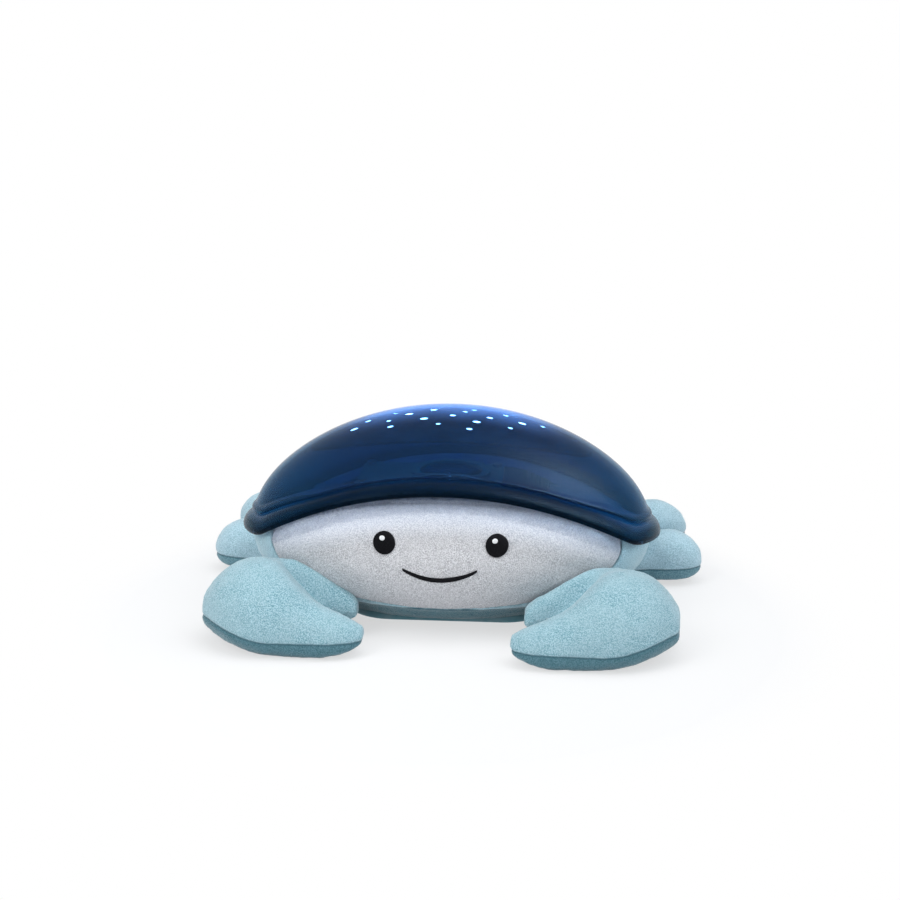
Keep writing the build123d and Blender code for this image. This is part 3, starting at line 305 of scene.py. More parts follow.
# plastic, metal and board finishes

mouldedValues = {"specular": 0.45, "lift": 0.12, "wearSize": 12 * mm, "wearDetail": 3.0, "wear": (0.3, 0.75),
                 "spread": 0.16, "bump": 0.5}


def mouldedFinish(name, colour, roughness=0.45, grainSize=0.5 * mm, depth=0.03 * mm):
    m = mouldedValues
    finish = Finish(name, Specular_IOR_Level=m["specular"])
    texture = finish.grain(grainSize)
    wear = finish.grain(m["wearSize"], m["wearDetail"])
    lighter = tuple(channel + (1 - channel) * m["lift"] for channel in colour)
    finish.put("Base Color", finish.blend(wear.between(*m["wear"]), colour, lighter))
    finish.put("Roughness", texture * m["spread"] + (roughness - m["spread"] / 2))
    finish.bump(texture, depth, m["bump"])
    return finish


metalValues = {"brushSize": 0.8 * mm, "brushRoughness": 0.6, "stainSize": 6 * mm, "stain": (0.35, 0.7),
               "darker": 0.72, "spread": 0.25, "drop": 0.1, "depth": 0.02 * mm, "bump": 0.4}


def metalFinish(name, colour, roughness=0.3, stretch=(1, 12, 1)):
    m = metalValues
    finish = Finish(name, Metallic=1.0)
    brushed = finish.grain(m["brushSize"], 2.0, m["brushRoughness"], stretch)
    stain = finish.grain(m["stainSize"])
    darker = tuple(channel * m["darker"] for channel in colour)
    finish.put("Base Color", finish.blend(stain.between(*m["stain"]), darker, colour))
    finish.put("Roughness", brushed * m["spread"] + (roughness - m["drop"]))
    finish.bump(brushed, m["depth"], m["bump"])
    return finish


boardValues = {"roughness": 0.42, "trackScale": 260.0, "trackRandom": 0.85, "tracks": (0.42, 0.5),
               "relief": (0.4, 0.52), "depth": 0.05 * mm, "bump": 0.5}


def boardFinish(name, colour, track):
    b = boardValues
    finish = Finish(name, Roughness=b["roughness"])
    lines = finish.node("ShaderNodeTexVoronoi", {"distance": "CHEBYCHEV", "feature": "F1"},
                        {"Vector": finish.place(), "Scale": b["trackScale"], "Randomness": b["trackRandom"]},
                        "Distance")
    finish.put("Base Color", finish.blend(lines.between(*b["tracks"]), colour, track))
    finish.bump(lines.between(*b["relief"]), b["depth"], b["bump"])
    return finish


clearValues = {"ior": 1.49, "hazeSize": 6 * mm, "paler": 1.06, "roughness": 0.04, "hazeRoughness": 0.05}


def clearFinish(name, colour):
    c = clearValues
    finish = Finish(name, Transmission_Weight=1.0, IOR=c["ior"])
    haze = finish.grain(c["hazeSize"])
    paler = tuple(min(1.0, channel * c["paler"]) for channel in colour)
    finish.put("Base Color", finish.blend(haze, colour, paler))
    finish.put("Roughness", haze * c["hazeRoughness"] + c["roughness"])
    return finish


glowValues = {"roughness": 0.4, "spreadSize": 3 * mm, "core": (1, 1, 1)}


def glowFinish(name, colour, strength):
    g = glowValues
    finish = Finish(name, Base_Color=colour, Roughness=g["roughness"], Emission_Strength=strength)
    finish.put("Emission Color", finish.blend(finish.grain(g["spreadSize"], 1.0), colour, g["core"]))
    return finish


cellValues = {"roughness": 0.3, "metallic": 0.6, "band": (12 * mm, 12.6 * mm), "wrap": (0.05, 0.055, 0.065),
              "copper": (0.55, 0.32, 0.12), "scuffSize": 2 * mm, "scuffDetail": 3.0, "scuff": (0.55, 0.8),
              "scuffShare": 0.3, "scuffColour": (0.5, 0.5, 0.5)}


def wrappedCellFinish():
    c = cellValues
    finish = Finish("cellWrap", Roughness=c["roughness"], Metallic=c["metallic"])
    alongCell = finish.axes()[0]
    colour = finish.blend(alongCell.between(*c["band"]), c["wrap"], c["copper"])
    scuff = finish.grain(c["scuffSize"], c["scuffDetail"]).between(*c["scuff"])
    finish.put("Base Color", finish.blend(scuff * c["scuffShare"], colour, c["scuffColour"]))
    return finish


panDark = mouldedFinish("panBlue", (0.045, 0.14, 0.28), 0.75, depth=0.006 * mm)
slotFinishes = {
    "pan_dark": panDark,
    "window_clear": glowFinish("windowGlow", (0.9, 0.96, 1.0), 40.0),
    "stitch_black": threadBlack,
    "tub_plastic": mouldedFinish("tubPlastic", (0.10, 0.28, 0.34), 0.5, 0.6 * mm, 0.05 * mm),
    "steel": metalFinish("steelPlated", (0.62, 0.62, 0.64)),
    "cell_case": wrappedCellFinish(),
    "board_green": boardFinish("boardGreen", (0.02, 0.18, 0.08), (0.06, 0.32, 0.16)),
    "parts_black": mouldedFinish("partsBlack", (0.025, 0.025, 0.03), 0.42),
    "gear_white": mouldedFinish("gearWhite", (0.80, 0.80, 0.77), 0.4),
    "lens_clear": clearFinish("lensClear", (0.82, 0.92, 0.97)),
    "button_teal": mouldedFinish("buttonRubber", (0.30, 0.60, 0.68), 0.6, 0.4 * mm, 0.04 * mm),
}
nodeFinishes = {
    "light_mask": mouldedFinish("maskDark", (0.008, 0.012, 0.025), 0.5),
    "reflector_cup": metalFinish("reflectorChrome", (0.85, 0.86, 0.88), 0.16, (1, 1, 6)),
    "led_emitters": glowFinish("lampGlow", (0.55, 0.8, 1.0), 4.0),
    "motor": metalFinish("motorCan", (0.55, 0.55, 0.56), 0.35, (1, 1, 14)),
}
for nodeName, node in frame["nodes"].items():
    finish = nodeFinishes.get(nodeName) or slotFinishes.get(slotOfNode[nodeName])
    if finish:
        dress(node, finish)
print("CAD pieces dressed")


# clear shell with its rolled lip

shellValues = {
    "halfWidth": 124 * mm, "halfDepth": 82 * mm, "rise": 97.5 * mm, "centreZ": 11.5 * mm,
    "tipX": 115.5 * mm, "tipDepth": 100 * mm, "tipBlend": 14.0, "wall": 2.0 * mm,
    "archCrown": 69.8 * mm, "archRadius": 188.9 * mm, "archFall": 0.1192,
    "tipRise": 9.0 * mm, "tipRiseFrom": 98 * mm, "tipRiseTo": 119 * mm,  # the lip turns up at its two ends
    "tipTurn": (0.8, 0.985), "tipLipHeight": 0.3, "tipLipWidth": 0.25,  # and is fuller there
    "segments": 320, "rings": 136, "cutBelow": -0.001, "edgeTries": 60, "merge": 0.001 * mm,
    # height over the edge and how far the surface stands out there, both in mm
    "lipProfile": ((0.0, 0.2), (0.1, 1.0), (0.45, 1.8), (1.1, 2.5), (2.0, 2.95), (3.1, 3.2), (4.3, 3.15),
                   (5.4, 2.8), (6.3, 2.2), (7.0, 1.4), (7.5, 0.5), (7.75, -0.1), (8.0, -0.15), (8.25, 0.2),
                   (8.7, 0.75), (9.4, 1.0), (10.1, 0.95), (10.8, 0.55), (11.2, 0.1), (11.5, -0.05),
                   (12.1, 0.05)),
}


def shellRadius(cosine, sine, z, grow):
    s = shellValues
    level = np.clip((z - s["centreZ"]) / (s["rise"] + grow), -1, 1)
    shrink = np.sqrt(np.maximum(1 - level * level, 0))
    whole = shrink / np.sqrt((cosine / (s["halfWidth"] + grow)) ** 2 + (sine / (s["halfDepth"] + grow)) ** 2)
    tips = 1 / np.sqrt((cosine / (s["tipX"] + grow)) ** 2 + (sine / (s["tipDepth"] + grow)) ** 2)
    power = s["tipBlend"]
    share = np.maximum(whole, tiny) / tips
    return whole * (1 + share ** power) ** (-1 / power)


def tipRise(x):
    return shellValues["tipRise"] * ramp(np.abs(x), shellValues["tipRiseFrom"], shellValues["tipRiseTo"])


def archHeight(x, y):
    s = shellValues
    arch = s["archCrown"] - s["archRadius"] + np.sqrt(s["archRadius"] ** 2 - x * x) - s["archFall"] * y
    return arch + tipRise(x)


def onShellEdge(cosine, sine, lift, grow):
    z = np.full_like(cosine, shellValues["archCrown"])
    for _ in range(shellValues["edgeTries"]):  # each try brings the dome and the arch closer to one height
        radius = shellRadius(cosine, sine, z, grow)
        z = 0.5 * z + 0.5 * (archHeight(radius * cosine, radius * sine) + lift)
    radius = shellRadius(cosine, sine, z, grow)
    return radius * cosine, radius * sine, z


def makeShell():
    s = shellValues
    bpy.ops.object.select_all(action="DESELECT")
    bpy.ops.mesh.primitive_uv_sphere_add(segments=s["segments"], ring_count=s["rings"], radius=1)
    shell = startPiece("clear_shell")
    bpy.ops.object.mode_set(mode="EDIT")
    bpy.ops.mesh.select_all(action="SELECT")
    bpy.ops.mesh.bisect(plane_co=(0, 0, s["cutBelow"]), plane_no=(0, 0, 1), clear_inner=True)
    bpy.ops.object.mode_set(mode="OBJECT")

    # each ring of the sphere becomes one line of the lip's profile or of the dome above it
    points = readPoints(shell)
    rows, lipRows = s["rings"] // 2, len(s["lipProfile"])
    row = np.rint(np.degrees(np.arcsin(np.clip(points[:, 2], -1, 1))) / (180 / s["rings"])).astype(int)
    row = np.clip(row, 0, rows)
    flat = np.hypot(points[:, 0], points[:, 1])
    flat[row == rows] = 1
    cosine = points[:, 0] / flat * s["halfWidth"]
    sine = points[:, 1] / flat * s["halfDepth"]
    length = np.maximum(np.hypot(cosine, sine), tiny)
    cosine, sine = cosine / length, sine / length
    tip = ramp(np.abs(cosine), *s["tipTurn"])
    taller, wider = 1 + s["tipLipHeight"] * tip, 1 + s["tipLipWidth"] * tip
    placed = np.zeros_like(points)
    for index, (lift, grow) in enumerate(s["lipProfile"]):
        at = row == index
        edge = onShellEdge(cosine[at], sine[at], lift * mm * taller[at], grow * mm * wider[at])
        placed[at] = np.stack(edge, 1)
    above = row >= lipRows
    lipTop = s["lipProfile"][-1][0] * mm * taller[above]
    startZ = onShellEdge(cosine[above], sine[above], lipTop, 0.0)[2]
    first = np.arcsin(np.clip((startZ - s["centreZ"]) / s["rise"], -1, 1))
    share = (row[above] - lipRows + 1) / (rows - lipRows + 1)
    height = s["centreZ"] + s["rise"] * np.sin(first + (math.pi / 2 - first) * share)
    radius = shellRadius(cosine[above], sine[above], height, 0.0)
    placed[above] = np.stack((radius * cosine[above], radius * sine[above], height), 1)
    placed[row == rows] = (0, 0, s["centreZ"] + s["rise"])
    placed[:, 1] += lampY
    writePoints(shell, placed)
    cleanMesh(shell, merge=s["merge"])
    addModifier(shell, "SOLIDIFY", thickness=s["wall"], offset=-1)
    smoothShade(shell)
    return shell


shellTones = {
    "transmission": 0.9, "ior": 1.1, "specularTint": (0.6, 0.85, 1.0),
    "clear": (0.036, 0.105, 0.225), "clearEnds": (0.030, 0.16, 0.28), "ends": (45 * mm, 112 * mm),
    "top": (0.10, 0.26, 0.55), "topZ": (92 * mm, 107 * mm), "topX": (35 * mm, 95 * mm),
    "topBack": 14 * mm, "topY": (8 * mm, 34 * mm),  # the painted lit patch lies a little behind the lamp's axis
    "lip": (0.009, 0.036, 0.065), "lipEnds": (0.018, 0.085, 0.125), "lipEdge": (6.5 * mm, 9.0 * mm),
    # the under-lip colour is painted shade at the lip's lower edge
    "underLipShade": (0.008, 0.025, 0.045), "underLipShadeShare": 0.7, "underLipShadeEdge": (2.0 * mm, 5.0 * mm),
    "roughness": 0.05, "endRoughness": 0.2, "lipRoughness": 0.14,
    # the glow beams and glow colours are painted light from the inner lamp
    "glowBeamSize": 16 * mm, "glowBeamStretch": (1, 1, 3), "glowBeams": (0.3, 0.75),
    "glowOff": (0.0, 0.001, 0.004), "glowDeep": (0.014, 0.05, 0.155), "glowPale": (0.03, 0.085, 0.23),
}


def shellFinish():
    s, t = shellValues, shellTones
    finish = Finish("shellTintAndPaintedGlow", Transmission_Weight=t["transmission"], IOR=t["ior"],
                    Specular_Tint=t["specularTint"], Emission_Strength=1.0)
    x, y, z = finish.axes()
    reach = x.math("ABSOLUTE")
    # painted light: a paler blue patch on the top, where the inner lamp lights the dome
    behind = 1 - (y - lampY - t["topBack"]).math("ABSOLUTE").between(*t["topY"])
    top = z.between(*t["topZ"]) * behind * (1 - reach.between(*t["topX"]))
    ends = reach.between(*t["ends"])
    colour = finish.blend(ends, t["clear"], t["clearEnds"])
    colour = finish.blend(top, colour, t["top"])
    arch = (s["archRadius"] ** 2 - x * x).math("SQRT") + (s["archCrown"] - s["archRadius"])
    rise = reach.between(s["tipRiseFrom"], s["tipRiseTo"]) * s["tipRise"]
    overEdge = z - arch - rise + (y - lampY) * s["archFall"]
    lip = 1 - overEdge.between(*t["lipEdge"])
    # painted shade: the lip darkens towards its lower edge, under its rolled bead
    underLipShade = 1 - overEdge.between(*t["underLipShadeEdge"])
    lipColour = finish.blend(ends, t["lip"], t["lipEnds"])
    lipColour = finish.blend(underLipShade * t["underLipShadeShare"], lipColour, t["underLipShade"])
    finish.put("Base Color", finish.blend(lip, colour, lipColour))
    dulled = (ends ** 3 * t["endRoughness"]).math("MAXIMUM", lip * t["lipRoughness"])
    finish.put("Roughness", dulled + t["roughness"])
    # painted light: the top patch glows, with beam-like streaks, though the shell is no lamp
    glowBeams = finish.grain(t["glowBeamSize"], stretch=t["glowBeamStretch"]).between(*t["glowBeams"])
    glow = finish.blend(glowBeams, t["glowDeep"], t["glowPale"])
    finish.put("Emission Color", finish.blend(top, t["glowOff"], glow))
    return finish


shell = makeShell()
dress(shell, shellFinish())
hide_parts("shell_dome")
shell.visible_shadow = False  # a clear cover throws no dark shadow
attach(shell, "crab")
print("shell made", len(shell.data.polygons))

floorPan = copyOfNode("shell_pan", "shell_floor")
points = readPoints(floorPan)
points[:, 2] += tipRise(points[:, 0])
writePoints(floorPan, points)
dress(floorPan, panDark)
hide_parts("shell_pan")
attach(floorPan, "crab")
print("shell floor made", len(floorPan.data.polygons))


# stuffed pieces

napValues = {"fineSize": 1.6 * mm, "fineLift": 0.22 * mm, "broadSize": 7 * mm, "broadLift": 0.7 * mm}


def napTexture(name, size):
    texture = bpy.data.textures.new(name, "CLOUDS")
    texture.noise_scale = size
    texture.noise_depth = 1
    return texture


fineNap = napTexture("fineNap", napValues["fineSize"])
broadNap = napTexture("broadNap", napValues["broadSize"])


def roughen(piece, texture, lift):
    addModifier(piece, "DISPLACE", texture=texture, strength=lift, mid_level=0.5, texture_coords="LOCAL")


def addNap(piece, share=1.0):
    roughen(piece, broadNap, napValues["broadLift"] * share)
    roughen(piece, fineNap, napValues["fineLift"] * share)
    smoothShade(piece)


def soften(piece, voxel, smooth):
    addModifier(piece, "REMESH", mode="VOXEL", voxel_size=voxel)
    addModifier(piece, "SMOOTH", factor=0.5, iterations=smooth)


def pushAlongNormals(piece, amount):
    writePoints(piece, readPoints(piece) + readNormals(piece) * amount[:, None])


def seamGroove(piece, height, depth, width):
    z = readPoints(piece)[:, 2]
    pushAlongNormals(piece, -depth * np.exp(-((z - height) / width) ** 2))


def keepAboveFloor(piece, node):
    points = readPoints(piece)
    points[:, 2] = np.maximum(points[:, 2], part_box(node)[0].z)
    writePoints(piece, points)


bodyValues = {"halfWidth": 110 * mm, "halfDepth": 72 * mm, "rise": 40 * mm, "centreZ": 38 * mm,
              "voxel": 1.3 * mm, "smooth": 8, "napShare": 0.8, "tipFrom": 22 * mm, "tipTo": 36 * mm,
              "skirtLow": 2 * mm, "skirtTop": 13 * mm, "skirtFoot": 2.6 * mm, "skirtSwell": 0.07,
              "skirtDrop": 0.7, "skirtTilt": 0.6, "skirtFacing": (-0.1, 0.35)}

limbValues = {  # heading in degrees from the right-hand side, the neck is the part that runs into the body
    "claw": {"voxel": 0.9 * mm, "smooth": 5, "seam": 8.6 * mm, "depth": 0.9 * mm, "width": 0.9 * mm,
             "fill": 0.8, "loft": 1.09, "heading": -90, "neckFrom": -8 * mm, "neckTo": 12 * mm,
             "neckReach": 22 * mm, "neckZ": 24 * mm, "endLift": 7 * mm, "endFrom": 84 * mm, "endTo": 124 * mm,
             "forward": {"left": 0.0, "right": 6 * mm}, "forwardFrom": 36 * mm, "forwardTo": 62 * mm,
             "notchDepth": 8 * mm, "notchWidth": 3.6 * mm, "notchFacing": (0.0, 0.4),
             "notch": ((86, -50), (75, -55), (66, -58.5), (57, -61.5), (44, -64))},  # in mm, right-hand claw
    "side_leg": {"voxel": 0.8 * mm, "smooth": 8, "seam": 10.0 * mm, "depth": 0.6 * mm, "width": 0.8 * mm,
                 "fill": 0.7, "loft": 1.0, "heading": 10, "neckFrom": -6.5 * mm, "neckTo": 15 * mm,
                 "neckReach": 26 * mm, "neckZ": 21 * mm},
    "rear_leg": {"voxel": 0.8 * mm, "smooth": 8, "seam": 18.0 * mm, "depth": 0.6 * mm, "width": 0.8 * mm,
                 "fill": 0.7, "loft": 1.0, "heading": 30, "neckFrom": -6.5 * mm, "neckTo": 15 * mm,
                 "neckReach": 26 * mm, "neckZ": 29 * mm},
}
neckValues = {"lift": 0.6, "firstSmooth": 2}
limbFinishes = {"claw": plushClaw, "side_leg": plushSideLeg, "rear_leg": plushRearLeg}


def runNeckIntoBody(limb, node, values, sign):
    b = bodyValues
    hinge = next(joint["pos_m"] for joint in frame["joints"] if joint["child"] == node)
    turn = math.radians(values["heading"])
    points = readPoints(limb)
    along = (points[:, :2] - hinge[:2]) @ np.array((sign * math.cos(turn), math.sin(turn)))
    outward = np.array((hinge[0] / b["halfWidth"] ** 2, (hinge[1] - lampY) / b["halfDepth"] ** 2))
    outward /= np.linalg.norm(outward)
    root = 1 - ramp(along, values["neckFrom"], values["neckTo"])
    points[:, :2] -= root[:, None] * outward * values["neckReach"]
    points[:, 2] += root * neckValues["lift"] * np.maximum(values["neckZ"] - points[:, 2], 0)
    writePoints(limb, points)
    soften(limb, values["voxel"], values["smooth"])


def pressNotch(limb, values, sign):
    points, normals = readPoints(limb), readNormals(limb)
    flat = points[:, :2] * (sign, 1)
    line = np.array(values["notch"]) * mm
    distance = np.full(len(flat), 1.0)
    for start, end in zip(line[:-1], line[1:]):
        run = end - start
        share = np.clip((flat - start) @ run / (run @ run), 0, 1)
        distance = np.minimum(distance, np.linalg.norm(flat - start - share[:, None] * run, axis=1))
    faded = 1 - ramp(flat[:, 0], line[1][0], line[0][0])
    depth = values["notchDepth"] * np.exp(-(distance / values["notchWidth"]) ** 2)
    points[:, 2] -= depth * faded * ramp(normals[:, 2], *values["notchFacing"])
    writePoints(limb, points)


def makeLimb(side, kind):
    values = limbValues[kind]
    node = f"{side}_{kind}"
    sign = -1 if side == "left" else 1
    limb = copyOfNode(node, f"{node}_plush")
    soften(limb, values["voxel"], neckValues["firstSmooth"])
    runNeckIntoBody(limb, node, values, sign)
    if "notch" in values:
        pressNotch(limb, values, sign)
    points = readPoints(limb)
    points[:, 2] *= values["loft"]
    seam = np.full(len(points), values["seam"])
    if "endLift" in values:  # the outer end of a claw curls up, and its seam with it
        outer = ramp(np.abs(points[:, 0]), values["endFrom"], values["endTo"])
        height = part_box(node)[1].z * values["loft"]
        points[:, 2] += values["endLift"] * outer * (1 - points[:, 2] / height)
        reach = ramp(-points[:, 1], values["forwardFrom"], values["forwardTo"])
        points[:, 1] -= values["forward"][side] * reach
        seam += outer * values["endLift"]
    writePoints(limb, points)
    seamGroove(limb, seam, values["depth"], values["width"])
    addNap(limb)
    keepAboveFloor(limb, node)
    dress(limb, limbFinishes[kind])
    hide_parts(node)
    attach(limb, node)
    return limb


for side in ("left", "right"):
    for kind in limbValues:
        limb = makeLimb(side, kind)
        print(limb.name, len(limb.data.polygons))


# body and face

faceValues = {"halfWidth": 93 * mm, "halfHeight": 28.5 * mm, "centreZ": 44 * mm, "proud": 1.0 * mm,
              "voxel": 0.65 * mm, "smooth": 14, "fill": 0.9,
              "bed": 2.2 * mm, "bedEdge": (0.96, 1.01), "bedFacing": (0.05, 0.2),  # the body gives way under it
              "edgeSink": 1.2 * mm, "edge": (0.93, 1.0), "edgeFacing": (0.0, 0.5),
              "bulge": 11.5 * mm, "bulgeReach": 27 * mm, "bulgeTop": 3 * mm,  # the pile swells out under the lip
              "bulgeFacing": (-0.3, 0.3), "lipY": -60 * mm}


def faceBulge(x, z):
    f = faceValues
    shellEdge = archHeight(x, np.full_like(x, f["lipY"]))
    rise = ramp(z, shellEdge - f["bulgeReach"], shellEdge - f["bulgeTop"])
    return f["bulge"] * rise * (1 - np.clip(np.abs(x) / f["halfWidth"], 0, 1) ** 2)


def faceShare(points):
    f = faceValues
    return np.hypot(points[:, 0] / f["halfWidth"], (points[:, 2] - f["centreZ"]) / f["halfHeight"])


def frontFacing(piece, low, high):
    return ramp(-readNormals(piece)[:, 1], low, high)


def fillSkirt(piece):
    b = bodyValues
    points, normals = readPoints(piece), readNormals(piece)
    aside = points - (0, lampY, 0)
    away = aside[:, :2] / np.maximum(np.hypot(aside[:, 0], aside[:, 1]), tiny)[:, None]
    outer = ramp((away * normals[:, :2]).sum(1) - b["skirtTilt"] * normals[:, 2], *b["skirtFacing"])
    low = (1 - ramp(points[:, 2], b["skirtLow"], b["skirtTop"])) * outer
    points[:, :2] += aside[:, :2] * (b["skirtSwell"] * low)[:, None]
    points[:, 2] -= low * np.maximum(points[:, 2] - b["skirtFoot"], 0) * b["skirtDrop"]
    writePoints(piece, points)


def makeBody():
    b, f = bodyValues, faceValues
    body = copyOfNode("plush_body", "body_plush")
    soften(body, b["voxel"], b["smooth"])
    fillSkirt(body)
    points = readPoints(body)
    points[:, 2] += tipRise(points[:, 0]) * ramp(points[:, 2], b["tipFrom"], b["tipTo"])
    writePoints(body, points)
    addNap(body, b["napShare"])
    underFace = (1 - ramp(faceShare(readPoints(body)), *f["bedEdge"])) * frontFacing(body, *f["bedFacing"])
    pushAlongNormals(body, -f["bed"] * underFace)
    keepAboveFloor(body, "plush_body")
    return body


def makeFace():
    f = faceValues
    face = copyOfNode("face_panel", "face_plush")
    soften(face, f["voxel"], f["smooth"])
    rim = ramp(faceShare(readPoints(face)), *f["edge"]) * frontFacing(face, *f["edgeFacing"])
    pushAlongNormals(face, -f["edgeSink"] * rim)
    points = readPoints(face)
    points[:, 1] -= faceBulge(points[:, 0], points[:, 2]) * frontFacing(face, *f["bulgeFacing"])
    writePoints(face, points)
    addNap(face)
    return face


body = makeBody()
dress(body, plushBody)
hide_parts("plush_body")
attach(body, "crab")

face = makeFace()
dress(face, plushWhite)
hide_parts("face_panel")
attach(face, "crab")
print("body and face made", len(body.data.polygons), len(face.data.polygons))


# loose fibres of the face's pile along the shell's edge

pileValues = {"seed": 11, "count": 9000, "band": 9 * mm, "facing": -0.25, "length": (1.2 * mm, 2.6 * mm),
              "width": 0.2 * mm, "lean": (0, -0.2, 0.75), "stray": 0.35, "scatter": 0.4 * mm,
              "sink": 0.35 * mm, "corners": (0, 2.094, 4.189)}  # a fibre is a thin three-sided spike


def makePile(face):
    v = pileValues
    draw = np.random.default_rng(v["seed"])
    points, normals = readPoints(face), readNormals(face)
    gapToShell = archHeight(points[:, 0], points[:, 1] - lampY) - points[:, 2]
    atEdge = (gapToShell < v["band"]) & (normals[:, 1] < v["facing"])
    points, normals = points[atEdge], normals[atEdge]
    picked = draw.integers(0, len(points), v["count"])
    root, out = points[picked], normals[picked]
    shape = (v["count"], 3)
    heading = out + np.array(v["lean"]) + draw.normal(0, v["stray"], shape)
    heading /= np.linalg.norm(heading, axis=1)[:, None]
    root = root + draw.normal(0, v["scatter"], shape) - out * v["sink"]
    across = np.cross(heading, draw.normal(0, 1, shape))
    across /= np.linalg.norm(across, axis=1)[:, None]
    other = np.cross(heading, across)
    half = v["width"] / 2
    corners = [root + half * (across * math.cos(turn) + other * math.sin(turn)) for turn in v["corners"]]
    tip = root + heading * draw.uniform(*v["length"], v["count"])[:, None]
    spikes = np.stack(corners + [tip], 1).reshape(-1, 3)
    first = np.arange(v["count"])[:, None, None] * 4
    faces = (first + np.array([[0, 1, 3], [1, 2, 3], [2, 0, 3], [2, 1, 0]])).reshape(-1, 3)
    mesh = bpy.data.meshes.new("face_pile")
    mesh.from_pydata(spikes.tolist(), [], faces.tolist())
    pile = bpy.data.objects.new("face_pile", mesh)
    scene.collection.objects.link(pile)
    return pile


facePile = makePile(face)
dress(facePile, plushWhite)
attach(facePile, "crab")
print("pile made", len(facePile.data.polygons))


# embroidery

def faceFront(x, z, lift):
    b, grow = bodyValues, faceValues["proud"] + lift
    level = (x / (b["halfWidth"] + grow)) ** 2 + ((z - b["centreZ"]) / (b["rise"] + grow)) ** 2
    return lampY - (b["halfDepth"] + grow) * np.sqrt(np.maximum(1 - level, 0)) - faceBulge(x, z)


stitchValues = {"wall": 0.5 * mm, "merge": 0.0005 * mm, "skirt": 0.9 * mm, "strandDepth": 0.07 * mm}
eyeValues = {"x": 29.25 * mm, "z": 53.6 * mm, "halfWidth": 6.1 * mm, "halfHeight": 6.0 * mm, "crown": 0.75 * mm,
             "base": 0.35 * mm, "columns": 150, "rows": 60, "strand": 0.42 * mm, "strandLean": 0.12,
             "roundness": 2.6, "edge": (0.93, 1.0)}
glintValues = {"x": -1.0 * mm, "z": 2.6 * mm, "halfWidth": 1.55 * mm, "halfHeight": 1.55 * 0.85 * mm,
               "crown": 0.35 * mm, "base": 1.0 * mm, "columns": 40, "rows": 24}  # place is from the eye's middle
smileValues = {"halfWidth": 19.5 * mm, "endZ": 41.2 * mm, "sag": 5.2 * mm, "thickness": 2.8 * mm,
               "tip": 1.0 * mm, "crown": 0.7 * mm, "columns": 260, "rows": 14, "strand": 0.8 * mm,
               "strandLean": 0.5, "roundness": 2.2, "edge": (0.85, 1.0)}


def stitchedPatch(name, values, shape):
    bpy.ops.object.select_all(action="DESELECT")
    bpy.ops.mesh.primitive_grid_add(x_subdivisions=values["columns"], y_subdivisions=values["rows"], size=2)
    patch = startPiece(name)
    grid = readPoints(patch)
    writePoints(patch, shape(grid[:, 0], grid[:, 1]))
    cleanMesh(patch, merge=stitchValues["merge"])
    addModifier(patch, "SOLIDIFY", thickness=stitchValues["wall"], offset=-1)
    smoothShade(patch)
    return patch


def domed(share, power):
    return np.sqrt(np.maximum(1 - share ** power, 0))


def strands(across, strand):
    return stitchValues["strandDepth"] * np.cos(2 * np.pi * across / strand)


def eyeShape(centreX, centreZ, values):
    e = eyeValues

    def shape(u, v):
        a, b = u * np.sqrt(1 - v * v / 2), v * np.sqrt(1 - u * u / 2)  # the square grid drawn round
        reach = np.clip(np.hypot(a, b), 0, 1)
        x = centreX + values["halfWidth"] * a
        z = centreZ + values["halfHeight"] * b
        lift = values["base"] + values["crown"] * domed(reach, e["roundness"])
        lift += strands(x + e["strandLean"] * z, e["strand"]) * (1 - reach ** 8)
        lift -= stitchValues["skirt"] * ramp(reach, *e["edge"])
        return np.stack((x, faceFront(x, z, lift), z), 1)
    return shape


def smileShape(u, v):
    s = smileValues
    x = s["halfWidth"] * u
    middle = s["endZ"] - s["sag"] * (1 - u * u)
    half = (s["tip"] + (s["thickness"] - s["tip"]) * domed(u, 2)) / 2
    lift = s["crown"] * domed(np.abs(v), s["roundness"]) * (0.5 + 0.5 * domed(u, 4))
    lift += strands(x + s["strandLean"] * v * half, s["strand"]) * (1 - v ** 8)
    lift -= stitchValues["skirt"] * ramp(np.maximum(np.abs(v), np.abs(u) ** 12), *s["edge"])
    z = middle + half * v
    return np.stack((x, faceFront(x, z, lift), z), 1)


def addStitch(piece, finish, node=None):
    dress(piece, finish)
    if node:
        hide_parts(node)
    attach(piece, "crab")


for side, sign in (("left", -1), ("right", 1)):
    eyeX, eyeZ = sign * eyeValues["x"], eyeValues["z"]
    eye = stitchedPatch(f"{side}_eye_stitch", eyeValues, eyeShape(eyeX, eyeZ, eyeValues))
    addStitch(eye, threadBlack, f"{side}_eye")
    glintShape = eyeShape(eyeX + glintValues["x"], eyeZ + glintValues["z"], glintValues)
    addStitch(stitchedPatch(f"{side}_eye_glint", glintValues, glintShape), threadWhite)
smile = stitchedPatch("smile_stitch", smileValues, smileShape)
addStitch(smile, threadBlack, "smile")
print("embroidery made")


# piping round the control pod and the marks on its buttons

pipingValues = {"grow": 1.0 * mm, "corner": 4.5 * mm, "radius": 1.5 * mm, "proud": 0.3 * mm, "nap": 0.25 * mm,
                "around": 180, "across": 14, "ringRadius": 0.2, "ahead": 0.001}


def bodyBack(x, z):
    b = bodyValues
    level = (x / b["halfWidth"]) ** 2 + ((z - b["centreZ"]) / b["rise"]) ** 2
    return lampY + b["halfDepth"] * np.sqrt(np.maximum(1 - level, 0))


def roundedLoop(share, halfX, halfZ, corner):
    turn = 2 * np.pi * share
    power = max(halfX, halfZ) / corner  # a squarer loop for a smaller corner
    cosine, sine = np.cos(turn), np.sin(turn)
    reach = (np.abs(cosine) ** power + np.abs(sine) ** power) ** (-1 / power)
    return halfX * cosine * reach, halfZ * sine * reach


